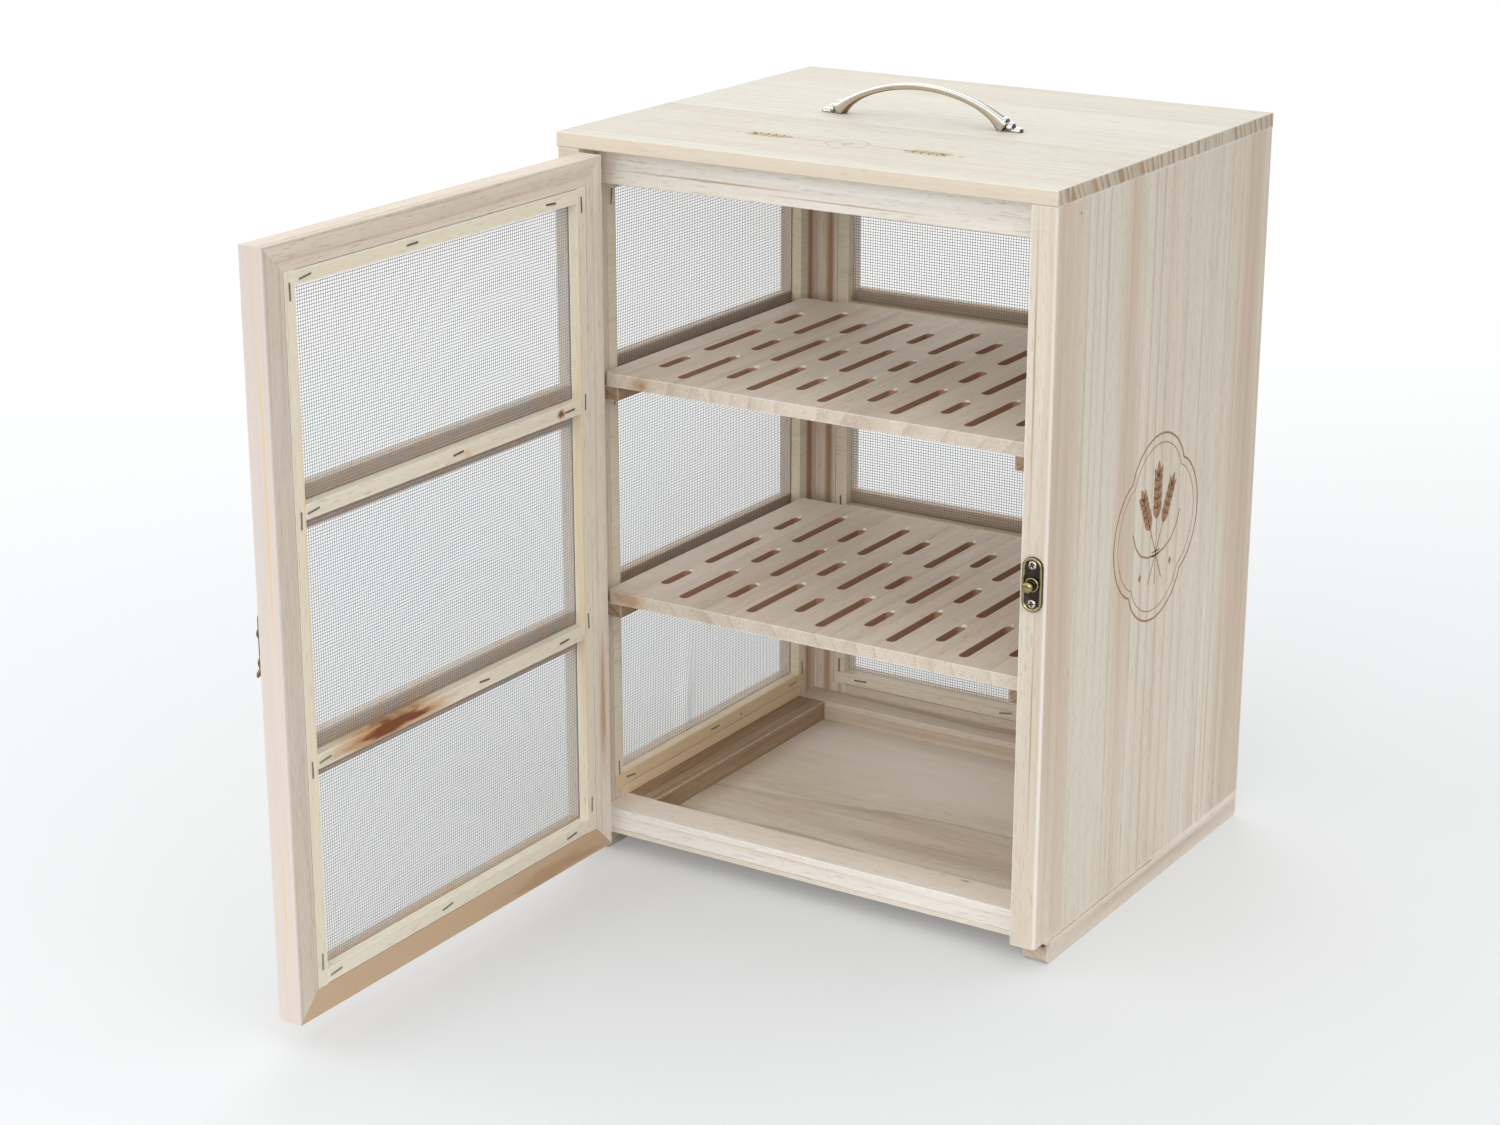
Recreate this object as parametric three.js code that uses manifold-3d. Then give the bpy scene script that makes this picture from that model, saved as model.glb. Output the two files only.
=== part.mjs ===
// Table-top pie safe: a pale wooden case with one solid side, wire mesh in the other side, the back
// and the door, two slotted shelves on cleats, a bow handle on top and a small hook latch.
// Millimetres, Z up. The front faces -Y, and the door hangs open at the left, as it does at rest.
import * as THREE from "three";
import { mergeVertices } from "three/addons/utils/BufferGeometryUtils.js";
import Module from "manifold-3d";

const wasm = await Module();
wasm.setup();

// Case
const caseWidth = 356;
const caseDepth = 309;
const caseHeight = 480;
const topThickness = 9.5;
const sideThickness = 17;
const frontCornerRadius = 2.5;
const topRailHeight = 24;
const topRailDepth = 17;
const bottomRailHeight = 14.5;
const bottomRailDepth = 28;
const baseBarWidth = 23;
const floorThickness = 3;
const runnerHeight = 15;
const runnerWidth = 17;
const runnerFrontSetback = 19;
const runnerBackSetback = 1;
const runnerEndRadius = 4;
const arris = 0.6;

// Clearances
const seam = 0.1;
const overrun = 2;

// Mesh panels: rabbeted frames, muntins outside the wire and beads inside it
const frameThickness = 16.5;
const lipThickness = 8.7;
const rabbetWidth = 9.5;
const doorFace = 17;
const backStileFace = 16.5;
const leftStileFace = 30;
const caseRailFace = 21.5;
const muntinWidth = 26.5;
const muntinHeights = [158.5, 311];
const beadSideGap = 0.5;
const meshThickness = 0.8;
const meshWireWidth = 1.4;
const meshEdgeGap = 2;
const doorMeshCells = [9, 12];
const backMeshCells = [9, 12];
const leftMeshCells = [7, 12];

// Door
const doorSideGap = 0.8;
const doorTopGap = 1.5;
const doorBottomDrop = 1;
const doorBackGap = 0.5;
const doorRestOpening = 90;

// Hinges
const hingeHeight = 38;
const hingeInset = 48;
const leafWidth = 12;
const leafThickness = 1;
const knuckleRadius = 2.2;
const knuckleCount = 5;
const knuckleGap = 0.3;
const pinSetback = 2.5;
const pinRadius = 1.2;
const pinClearance = 0.1;
const pinHeadRadius = 1.9;
const pinHeadHeight = 1.1;

// Shelves and cleats
const shelfSideGap = 4.5;
const shelfTravel = 27;
const shelfThickness = 9;
const shelfCornerRadius = 4;
const shelfSeats = [162.5, 312.5];
const shelfSetback = 0.6;
const slotWidth = 7;
const slotShort = 32;
const slotGap = 21.5;
const slotFrontMargin = 13;
const slotBackMargin = 26;
const slotSideMargin = 24.5;
const slotColumns = 11;
const cleatWidth = 15;
const cleatHeight = 9.5;
const cleatSetback = 1;
const cleatBackGap = 6;

// Bow handle
const handleSpan = 128;
const handleRise = 24.2;
const bowWidth = 7;
const bowThickness = 3.8;
const fluteDepth = 0.7;
const footWidth = 9.4;
const footThickness = 10.3;
const footShoulder = 5.3;
const collar = { out: -2.6, rise: 5.4, length: 3.8, width: 10, height: 6.8 };
const lobe = { out: 1.4, rise: 3, length: 6, width: 8.8, height: 5.8 };
const leafTip = { out: 5.4, rise: 1, length: 9.8, width: 6.4, height: 3.8 };

// Latch
const latchHeight = 240;
const plateWidth = 14;
const plateLength = 35;
const plateThickness = 1;
const padInset = 1.7;
const padThickness = 1;
const bossRadius = 4;
const bossRise = 1;
const studNeckRadius = 1.8;
const studNeckLength = 2.6;
const studHeadRadius = 4;
const studHeadThickness = 3.4;
const hookThickness = 1.6;
const hookArmWidth = 5;
const hookEyeRadius = 3.9;
const hookEyeBore = 2.1;
const hookClearance = 0.3;
const hookMouth = 5;
const hookTipRadius = 4.6;
const hornLength = 6;
const hornWidth = 2.4;
const pivotRadius = 1.8;
const pivotHeadRadius = 3.8;
const pivotHeadThickness = 1.3;

// Finishes
function finish(color, roughness, metalness) {
  return { color, roughness, metalness };
}
const paleWood = finish(0xddd3c0, 0.72, 0);
const sideWood = finish(0xc9bda8, 0.74, 0);
const topWood = finish(0xe3dfd2, 0.7, 0);
const beadWood = finish(0xd8cba6, 0.75, 0);
const shelfWood = finish(0xbfb19f, 0.75, 0);
const plywood = finish(0xd9c9aa, 0.8, 0);
const wire = finish(0xc8c9cb, 0.35, 0.9);
const nickel = finish(0xd6d6d4, 0.18, 1);
const agedBrass = finish(0x77694a, 0.38, 1);

// Places that follow from the sizes above
const halfWidth = caseWidth / 2;
const sideHeight = caseHeight - topThickness;
const innerHalfWidth = halfWidth - sideThickness;
const doorWidth = 2 * (innerHalfWidth - doorSideGap);
const doorHeight = sideHeight - doorTopGap + doorBottomDrop;
const behindDoor = frameThickness + doorBackGap;
const pinX = -innerHalfWidth + doorSideGap / 2;
const pinY = -pinSetback;
const doorReach = innerHalfWidth - doorSideGap - pinX;
const backFrontFace = caseDepth - frameThickness;
const beadWidth = rabbetWidth - beadSideGap;
const meshTuck = rabbetWidth - meshEdgeGap;
const shelfWidth = 2 * (innerHalfWidth - shelfSideGap);
const shelfFront = behindDoor + shelfSetback;
const shelfDepth = backFrontFace - shelfTravel - shelfFront;
const slotLong = (shelfDepth - slotFrontMargin - slotBackMargin - slotShort - 2 * slotGap) / 2;
const slotPitch = (shelfWidth - 2 * slotSideMargin) / (slotColumns - 1);
const cleatFront = behindDoor + cleatSetback;
const cleatLength = backFrontFace - cleatBackGap - cleatFront;
const restFront = pinY - doorReach;
const originY = (caseDepth + restFront) / 2;
const standingHeight = runnerHeight + floorThickness;
const studX = halfWidth - sideThickness / 2;
const pivotToStud = sideThickness / 2 + doorSideGap + plateWidth / 2 + seam + doorSideGap;

// Solids
function solidOf(geometry) {
  const bare = geometry.clone();
  bare.deleteAttribute("normal");
  bare.deleteAttribute("uv");
  const merged = mergeVertices(bare, 1e-4);
  return new wasm.Manifold(
    new wasm.Mesh({
      numProp: 3,
      vertProperties: new Float32Array(merged.attributes.position.array),
      triVerts: new Uint32Array(merged.index.array),
    }),
  );
}

function geometryOf(solid) {
  const made = solid.getMesh();
  const geometry = new THREE.BufferGeometry();
  geometry.setAttribute("position", new THREE.BufferAttribute(new Float32Array(made.vertProperties), 3));
  geometry.setIndex(new THREE.BufferAttribute(new Uint32Array(made.triVerts), 1));
  geometry.computeVertexNormals();
  return geometry;
}

function joined(...geometries) {
  return geometryOf(geometries.map(solidOf).reduce((all, next) => all.add(next)));
}

function cut(geometry, ...cutters) {
  return geometryOf(cutters.reduce((left, next) => left.subtract(solidOf(next)), solidOf(geometry)));
}

// A geometry turned so that its own X, Y and Z run along the three given directions.
function turned(geometry, xTo, yTo, zTo) {
  return geometry.applyMatrix4(new THREE.Matrix4().makeBasis(xTo, yTo, zTo));
}

const alongX = new THREE.Vector3(1, 0, 0);
const alongY = new THREE.Vector3(0, 1, 0);
const alongZ = new THREE.Vector3(0, 0, 1);

function extruded(shape, depth, curveSegments = 6) {
  return new THREE.ExtrudeGeometry(shape, { depth, bevelEnabled: false, curveSegments, steps: 1 });
}

function block(xFrom, xTo, yFrom, yTo, zFrom, zTo) {
  const box = new THREE.BoxGeometry(xTo - xFrom, yTo - yFrom, zTo - zFrom);
  return box.translate((xFrom + xTo) / 2, (yFrom + yTo) / 2, (zFrom + zTo) / 2);
}

function polygon(points) {
  return new THREE.Shape(points.map(([x, y]) => new THREE.Vector2(x, y)));
}

// A rectangle whose four corners are eased by a small chamfer.
function easedRectangle(width, height, ease) {
  return polygon([
    [ease, 0],
    [width - ease, 0],
    [width, ease],
    [width, height - ease],
    [width - ease, height],
    [ease, height],
    [0, height - ease],
    [0, ease],
  ]);
}

// A board with eased long edges, from the origin to its three sizes, with its length along one axis.
function board(sizeX, sizeY, sizeZ, lengthAxis) {
  if (lengthAxis === "x") {
    return turned(extruded(easedRectangle(sizeY, sizeZ, arris), sizeX), alongY, alongZ, alongX);
  }
  if (lengthAxis === "y") {
    return turned(extruded(easedRectangle(sizeZ, sizeX, arris), sizeY), alongZ, alongX, alongY);
  }
  return extruded(easedRectangle(sizeX, sizeY, arris), sizeZ);
}

function addPiece(parent, name, geometry, look, x = 0, y = 0, z = 0) {
  const piece = new THREE.Mesh(geometry, new THREE.MeshStandardMaterial(look));
  piece.name = name;
  piece.position.set(x, y, z);
  parent.add(piece);
  return piece;
}

// Mesh panels. A panel lies in its own frame: X across, Y up, Z from its outer face to its inner face.
function panelWindow(panel) {
  return {
    left: panel.stileFaces[0] + rabbetWidth,
    right: panel.width - panel.stileFaces[1] - rabbetWidth,
    bottom: panel.railFaces[0] + rabbetWidth,
    top: panel.height - panel.railFaces[1] - rabbetWidth,
  };
}

// The four members' outlines, with mitred corners or with rails butted between the stiles.
function memberOutlines(panel) {
  const { width, height } = panel;
  const { left, right, bottom, top } = panelWindow(panel);
  if (panel.mitred) {
    return {
      [panel.stileNames[0]]: [[0, seam], [left, bottom + seam], [left, top - seam], [0, height - seam]],
      [panel.stileNames[1]]: [[width, seam], [width, height - seam], [right, top - seam], [right, bottom + seam]],
      rail_bottom: [[0, 0], [width, 0], [right, bottom], [left, bottom]],
      rail_top: [[left, top], [right, top], [width, height], [0, height]],
    };
  }
  return {
    [panel.stileNames[0]]: [[0, 0], [left, 0], [left, height], [0, height]],
    [panel.stileNames[1]]: [[right, 0], [width, 0], [width, height], [right, height]],
    rail_bottom: [[left + seam, 0], [right - seam, 0], [right - seam, bottom], [left + seam, bottom]],
    rail_top: [[left + seam, top], [right - seam, top], [right - seam, height], [left + seam, height]],
  };
}

// The woven wire, drawn as a plate with the panel's cells cut through it.
function meshPlate(panel) {
  const { left, right, bottom, top } = panelWindow(panel);
  const [columns, rows] = panel.cells;
  const plate = block(
    left - meshTuck, right + meshTuck,
    bottom - meshTuck, top + meshTuck,
    0, meshThickness,
  );
  const cellWidth = (right - left - meshWireWidth) / columns;
  const cellHeight = (top - bottom - meshWireWidth) / rows;
  const gaps = [];
  for (let column = 0; column < columns; column += 1) {
    for (let row = 0; row < rows; row += 1) {
      const x = left + meshWireWidth + column * cellWidth;
      const y = bottom + meshWireWidth + row * cellHeight;
      gaps.push(block(
        x, x + cellWidth - meshWireWidth,
        y, y + cellHeight - meshWireWidth,
        -overrun, meshThickness + overrun,
      ));
    }
  }
  return cut(plate, ...gaps).translate(0, 0, lipThickness + seam);
}

// The beads' places: two uprights the full height of the rabbet, and the others between them.
function beadStrips(panel) {
  const { left, right, bottom, top } = panelWindow(panel);
  const low = bottom - rabbetWidth + seam;
  const high = top + rabbetWidth - seam;
  const strips = {
    [panel.stileNames[0].replace("stile", "bead")]: [left - beadWidth, left, low, high],
    [panel.stileNames[1].replace("stile", "bead")]: [right, right + beadWidth, low, high],
    bead_bottom: [left + seam, right - seam, bottom - beadWidth, bottom],
    bead_top: [left + seam, right - seam, top, top + beadWidth],
  };
  muntinHeights.forEach((height, index) => {
    const middle = height - panel.foot;
    const name = index === 0 ? "bead_lower" : "bead_upper";
    strips[name] = [left + seam, right - seam, middle - beadWidth / 2, middle + beadWidth / 2];
  });
  return strips;
}

function addPanel(parent, panel) {
  const { thickness, look } = panel;
  const { left, right, bottom, top } = panelWindow(panel);
  const pocket = block(
    left - rabbetWidth,
    right + rabbetWidth,
    bottom - rabbetWidth,
    top + rabbetWidth,
    lipThickness,
    thickness + overrun,
  );
  for (const [part, outline] of Object.entries(memberOutlines(panel))) {
    const blank = extruded(polygon(outline), thickness);
    const cutters = [pocket, ...(panel.cutters[part] ?? [])];
    addPiece(parent, `${panel.name}_${part}`, cut(blank, ...cutters), look);
  }
  muntinHeights.forEach((height, index) => {
    const name = `${panel.name}_muntin_${index === 0 ? "lower" : "upper"}`;
    const bar = board(right - left - 2 * seam, muntinWidth, lipThickness, "x");
    addPiece(parent, name, bar, look, left + seam, height - panel.foot - muntinWidth / 2, 0);
  });
  addPiece(parent, `${panel.name}_mesh`, meshPlate(panel), wire);
  const beadFoot = lipThickness + meshThickness + 2 * seam;
  const strips = Object.entries(beadStrips(panel)).map(([part, [x0, x1, y0, y1]]) => [
    part,
    block(x0, x1, y0, y1, beadFoot, thickness),
  ]);
  if (panel.looseBeads) {
    strips.forEach(([part, strip]) => addPiece(parent, `${panel.name}_${part}`, strip, beadWood));
    return;
  }
  const reach = 2 * seam;
  const fused = Object.entries(beadStrips(panel)).map(([part, [x0, x1, y0, y1]]) => {
    const upright = y1 - y0 > x1 - x0;
    return block(upright ? x0 : x0 - reach, upright ? x1 : x1 + reach, y0, y1, beadFoot, thickness);
  });
  addPiece(parent, `${panel.name}_beads`, joined(...fused), beadWood);
}

function hingeFoot(index) {
  return index === 0 ? hingeInset : doorHeight - hingeInset - hingeHeight;
}

// Mortises let the hinge leaves in flush with the wood.
const mortiseDepth = leafThickness + seam;
function caseMortises() {
  return [0, 1].map((index) => {
    const z = hingeFoot(index) - doorBottomDrop - seam;
    return block(
      -overrun, leafWidth + seam,
      z, z + hingeHeight + 2 * seam,
      sideThickness - mortiseDepth, sideThickness + overrun,
    );
  });
}

function doorMortises() {
  return [0, 1].map((index) => {
    const y = hingeFoot(index) - seam;
    return block(
      doorWidth - mortiseDepth, doorWidth + overrun,
      y, y + hingeHeight + 2 * seam,
      -overrun, leafWidth + seam,
    );
  });
}

// A cutter that rounds the outer front corner of an upright.
function cornerCutter(radius, length) {
  const corner = new THREE.Shape();
  corner.moveTo(-overrun, -overrun);
  corner.lineTo(radius, -overrun);
  corner.lineTo(radius, 0);
  corner.absarc(radius, radius, radius, 1.5 * Math.PI, Math.PI, true);
  corner.lineTo(-overrun, radius);
  corner.closePath();
  return extruded(corner, length + 2 * overrun).translate(0, 0, -overrun);
}

function leftStileCutters() {
  const corner = turned(cornerCutter(frontCornerRadius, sideHeight), alongZ, alongX, alongY);
  return [corner, ...caseMortises()];
}

const leftPanel = {
  name: "left",
  width: caseDepth,
  height: sideHeight - seam,
  thickness: sideThickness,
  stileFaces: [leftStileFace, leftStileFace],
  railFaces: [caseRailFace, caseRailFace],
  stileNames: ["stile_front", "stile_back"],
  mitred: false,
  looseBeads: false,
  foot: 0,
  cells: leftMeshCells,
  cutters: { stile_front: leftStileCutters() },
  look: paleWood,
};

const backPanel = {
  name: "back",
  width: 2 * (innerHalfWidth - seam),
  height: sideHeight - seam,
  thickness: frameThickness,
  stileFaces: [backStileFace, backStileFace],
  railFaces: [caseRailFace, caseRailFace],
  stileNames: ["stile_left", "stile_right"],
  mitred: false,
  looseBeads: false,
  foot: 0,
  cells: backMeshCells,
  cutters: {},
  look: paleWood,
};

const doorPanel = {
  name: "door",
  width: doorWidth,
  height: doorHeight,
  thickness: frameThickness,
  stileFaces: [doorFace, doorFace],
  railFaces: [doorFace, doorFace],
  stileNames: ["stile_latch", "stile_hinge"],
  mitred: true,
  looseBeads: true,
  foot: -doorBottomDrop,
  cells: doorMeshCells,
  cutters: { stile_hinge: doorMortises() },
  look: paleWood,
};

// Case pieces
function sidePanel() {
  const outline = new THREE.Shape();
  outline.moveTo(0, 0);
  outline.lineTo(sideThickness - frontCornerRadius, 0);
  outline.absarc(sideThickness - frontCornerRadius, frontCornerRadius, frontCornerRadius, -Math.PI / 2, 0, false);
  outline.lineTo(sideThickness, caseDepth - arris);
  outline.lineTo(sideThickness - arris, caseDepth);
  outline.lineTo(0, caseDepth);
  outline.closePath();
  return extruded(outline, sideHeight - seam, 5);
}

function runner() {
  const length = caseDepth - runnerFrontSetback - runnerBackSetback;
  const outline = new THREE.Shape();
  outline.moveTo(runnerEndRadius, 0);
  outline.lineTo(length - runnerEndRadius, 0);
  outline.absarc(length - runnerEndRadius, runnerEndRadius, runnerEndRadius, -Math.PI / 2, 0, false);
  outline.lineTo(length, runnerHeight - seam);
  outline.lineTo(0, runnerHeight - seam);
  outline.lineTo(0, runnerEndRadius);
  outline.absarc(runnerEndRadius, runnerEndRadius, runnerEndRadius, Math.PI, 1.5 * Math.PI, false);
  return turned(extruded(outline, runnerWidth, 5), alongY, alongZ, alongX);
}

function addCase(parent) {
  const top = board(caseWidth, caseDepth, topThickness, "x");
  addPiece(parent, "top_panel", top, topWood, -halfWidth, 0, sideHeight);
  addPiece(parent, "side_panel", sidePanel(), sideWood, innerHalfWidth, 0, 0);

  const between = 2 * (innerHalfWidth - seam);
  const topRail = board(between, topRailDepth, topRailHeight, "x");
  const topRailZ = sideHeight - seam - topRailHeight;
  addPiece(parent, "top_rail", topRail, paleWood, -innerHalfWidth + seam, behindDoor, topRailZ);
  const bottomRail = board(between, bottomRailDepth, bottomRailHeight, "x");
  addPiece(parent, "bottom_rail", bottomRail, paleWood, -innerHalfWidth + seam, behindDoor, 0);

  const barFront = behindDoor + bottomRailDepth + seam;
  const backBar = board(between, baseBarWidth, bottomRailHeight, "x");
  const backBarY = backFrontFace - seam - baseBarWidth;
  addPiece(parent, "base_bar_back", backBar, paleWood, -innerHalfWidth + seam, backBarY, 0);
  const barLength = backBarY - seam - barFront;
  const leftBar = board(baseBarWidth, barLength, bottomRailHeight, "y");
  addPiece(parent, "base_bar_left", leftBar, paleWood, -innerHalfWidth + seam, barFront, 0);
  const rightBar = board(baseBarWidth, barLength, bottomRailHeight, "y");
  addPiece(parent, "base_bar_right", rightBar, paleWood, innerHalfWidth - seam - baseBarWidth, barFront, 0);

  const floor = block(-halfWidth, halfWidth, behindDoor, caseDepth, -floorThickness, -seam);
  addPiece(parent, "floor_panel", floor, plywood);
  const runnerZ = -floorThickness - runnerHeight;
  addPiece(parent, "runner_left", runner(), paleWood, -halfWidth, runnerFrontSetback, runnerZ);
  addPiece(parent, "runner_right", runner(), paleWood, halfWidth - runnerWidth, runnerFrontSetback, runnerZ);
}

// Shelves
function slotPath(middleX, frontY, length) {
  const radius = slotWidth / 2;
  const slot = new THREE.Path();
  slot.moveTo(middleX - radius, frontY + radius);
  slot.lineTo(middleX - radius, frontY + length - radius);
  slot.absarc(middleX, frontY + length - radius, radius, Math.PI, 0, true);
  slot.lineTo(middleX + radius, frontY + radius);
  slot.absarc(middleX, frontY + radius, radius, 0, Math.PI, true);
  return slot;
}

// Columns alternate between short-long-short and long-short-long, centred on one line.
function shelf() {
  const radius = shelfCornerRadius;
  const outline = new THREE.Shape();
  outline.moveTo(radius, 0);
  outline.lineTo(shelfWidth - radius, 0);
  outline.absarc(shelfWidth - radius, radius, radius, -Math.PI / 2, 0, false);
  outline.lineTo(shelfWidth, shelfDepth);
  outline.lineTo(0, shelfDepth);
  outline.lineTo(0, radius);
  outline.absarc(radius, radius, radius, Math.PI, 1.5 * Math.PI, false);
  const longRow = 2 * slotLong + slotShort + 2 * slotGap;
  const shortRow = 2 * slotShort + slotLong + 2 * slotGap;
  for (let column = 0; column < slotColumns; column += 1) {
    const startsLong = column % 2 === 1;
    const lengths = startsLong ? [slotLong, slotShort, slotLong] : [slotShort, slotLong, slotShort];
    let y = slotFrontMargin + (startsLong ? 0 : (longRow - shortRow) / 2);
    for (const length of lengths) {
      outline.holes.push(slotPath(slotSideMargin + column * slotPitch, y, length));
      y += length + slotGap;
    }
  }
  return extruded(outline, shelfThickness - seam, 4);
}

function addShelves(parent) {
  shelfSeats.forEach((seat, index) => {
    const level = index === 0 ? "lower" : "upper";
    addPiece(parent, `shelf_${level}`, shelf(), shelfWood, -shelfWidth / 2, shelfFront, seat + seam);
    for (const side of ["left", "right"]) {
      const x = side === "left" ? -innerHalfWidth + seam : innerHalfWidth - seam - cleatWidth;
      const cleat = board(cleatWidth, cleatLength, cleatHeight, "y");
      addPiece(parent, `cleat_${level}_${side}`, cleat, paleWood, x, cleatFront, seat - cleatHeight);
    }
  });
}

// Hinges stand on their pin's axis, with the case leaf to the left of it and the door leaf to the right.
function hingeLeaf(isDoorLeaf) {
  const side = isDoorLeaf ? 1 : -1;
  const near = side * (doorSideGap / 2);
  const far = near + side * leafThickness;
  const plate = block(Math.min(near, far), Math.max(near, far), 0, pinSetback + leafWidth, 0, hingeHeight);
  const barrel = new THREE.CylinderGeometry(knuckleRadius, knuckleRadius, hingeHeight, 20);
  barrel.rotateX(Math.PI / 2).translate(0, 0, hingeHeight / 2);
  const boreRadius = pinRadius + pinClearance;
  const bore = new THREE.CylinderGeometry(boreRadius, boreRadius, hingeHeight + 2 * overrun, 16);
  bore.rotateX(Math.PI / 2).translate(0, 0, hingeHeight / 2);
  const knuckle = hingeHeight / knuckleCount;
  const spaces = [];
  for (let index = isDoorLeaf ? 0 : 1; index < knuckleCount; index += 2) {
    const low = index === 0 ? -overrun : index * knuckle - knuckleGap / 2;
    const high = index === knuckleCount - 1 ? hingeHeight + overrun : (index + 1) * knuckle + knuckleGap / 2;
    const reach = knuckleRadius + knuckleGap;
    const space = new THREE.CylinderGeometry(reach, reach, high - low, 20);
    spaces.push(space.rotateX(Math.PI / 2).translate(0, 0, (low + high) / 2));
  }
  return cut(joined(plate, barrel), bore, ...spaces);
}

function hingePin() {
  const profile = [
    [0, -pinHeadHeight],
    [pinHeadRadius / 2, -pinHeadHeight],
    [pinHeadRadius, -pinHeadHeight / 2],
    [pinHeadRadius, -seam],
    [pinRadius, -seam],
    [pinRadius, hingeHeight + seam],
    [pinHeadRadius, hingeHeight + seam],
    [pinHeadRadius, hingeHeight + pinHeadHeight / 2],
    [pinHeadRadius / 2, hingeHeight + pinHeadHeight],
    [0, hingeHeight + pinHeadHeight],
  ];
  return turned(
    new THREE.LatheGeometry(profile.map(([r, z]) => new THREE.Vector2(r, z)), 16),
    alongX, alongZ, alongY.clone().negate(),
  );
}

function addHinges(parent, door) {
  ["lower", "upper"].forEach((level, index) => {
    const z = hingeFoot(index) - doorBottomDrop;
    addPiece(parent, `hinge_${level}_case_leaf`, hingeLeaf(false), agedBrass, pinX, pinY, z);
    addPiece(parent, `hinge_${level}_pin`, hingePin(), agedBrass, pinX, pinY, z);
    addPiece(door, `hinge_${level}_door_leaf`, hingeLeaf(true), agedBrass, 0, 0, z);
  });
}

// Latch plates lie in their own frame: X across, Y up, Z out of the wood.
function stadium(width, length) {
  const radius = width / 2;
  const straight = length / 2 - radius;
  const shape = new THREE.Shape();
  shape.moveTo(radius, -straight);
  shape.lineTo(radius, straight);
  shape.absarc(0, straight, radius, 0, Math.PI, false);
  shape.lineTo(-radius, -straight);
  shape.absarc(0, -straight, radius, Math.PI, 2 * Math.PI, false);
  return shape;
}

function latchPlate() {
  const flange = extruded(stadium(plateWidth, plateLength), plateThickness, 8);
  const padSink = plateThickness / 2;
  const pad = extruded(stadium(plateWidth - 2 * padInset, plateLength - 2 * padInset), padThickness + padSink, 8);
  return joined(flange, pad.translate(0, 0, plateThickness - padSink));
}

function lathed(profile, segments) {
  const points = profile.map(([r, z]) => new THREE.Vector2(r, z));
  return turned(new THREE.LatheGeometry(points, segments), alongX, alongZ, alongY.clone().negate());
}

const padTop = plateThickness + padThickness + seam;
const neckFoot = padTop + bossRise;
const hookFoot = neckFoot + hookClearance;
const headFoot = neckFoot + studNeckLength;

// The stud: a domed boss, a neck for the hook and a mushroom head.
function stud() {
  return lathed(
    [
      [0, padTop],
      [bossRadius, padTop],
      [bossRadius * 0.9, padTop + bossRise / 2],
      [bossRadius * 0.6, neckFoot],
      [studNeckRadius, neckFoot],
      [studNeckRadius, headFoot],
      [studHeadRadius * 0.85, headFoot],
      [studHeadRadius, headFoot + studHeadThickness * 0.3],
      [studHeadRadius * 0.97, headFoot + studHeadThickness * 0.6],
      [studHeadRadius * 0.7, headFoot + studHeadThickness * 0.92],
      [0, headFoot + studHeadThickness],
    ],
    20,
  );
}

function pivot() {
  const pivotHeadFoot = hookFoot + hookThickness + hookClearance;
  return lathed(
    [
      [0, padTop],
      [bossRadius, padTop],
      [bossRadius * 0.9, padTop + bossRise / 2],
      [bossRadius * 0.6, neckFoot],
      [pivotRadius, neckFoot],
      [pivotRadius, pivotHeadFoot],
      [pivotHeadRadius, pivotHeadFoot],
      [pivotHeadRadius * 0.9, pivotHeadFoot + pivotHeadThickness * 0.6],
      [pivotHeadRadius * 0.5, pivotHeadFoot + pivotHeadThickness],
      [0, pivotHeadFoot + pivotHeadThickness],
    ],
    20,
  );
}

// The hook: an eye round the pivot, an arm, and a tip whose mouth drops over the stud's neck.
// It is drawn locked, with the arm along X and the mouth open downwards.
function hook() {
  const eye = extruded(new THREE.Shape().absarc(0, 0, hookEyeRadius, 0, 2 * Math.PI, false), hookThickness, 20);
  const arm = block(0, pivotToStud, -hookArmWidth / 2, hookArmWidth / 2, 0, hookThickness);
  const tip = extruded(
    new THREE.Shape().absarc(pivotToStud, 0, hookTipRadius, 0, 2 * Math.PI, false),
    hookThickness,
    20,
  );
  const horn = new THREE.Shape();
  const root = pivotToStud + hookTipRadius - hornWidth;
  horn.moveTo(root, 0);
  horn.quadraticCurveTo(root + hornLength / 2, 0, root + hornLength, hornLength);
  horn.lineTo(root + hornLength - hornWidth, hornLength);
  horn.quadraticCurveTo(root + hornLength / 4, hornLength / 2, root - hornWidth, hornWidth);
  horn.closePath();
  const blank = joined(eye, arm, tip, extruded(horn, hookThickness));
  const eyeBore = extruded(
    new THREE.Shape().absarc(0, 0, hookEyeBore, 0, 2 * Math.PI, false),
    hookThickness + 2 * overrun,
    16,
  ).translate(0, 0, -overrun);
  const mouth = new THREE.Shape();
  mouth.moveTo(pivotToStud - hookMouth / 2, -hookTipRadius - overrun);
  mouth.lineTo(pivotToStud + hookMouth / 2, -hookTipRadius - overrun);
  mouth.lineTo(pivotToStud + hookMouth / 2, 0);
  mouth.absarc(pivotToStud, 0, hookMouth / 2, 0, Math.PI, false);
  mouth.closePath();
  const mouthCutter = extruded(mouth, hookThickness + 2 * overrun, 10).translate(0, 0, -overrun);
  return cut(blank, eyeBore, mouthCutter);
}

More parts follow.
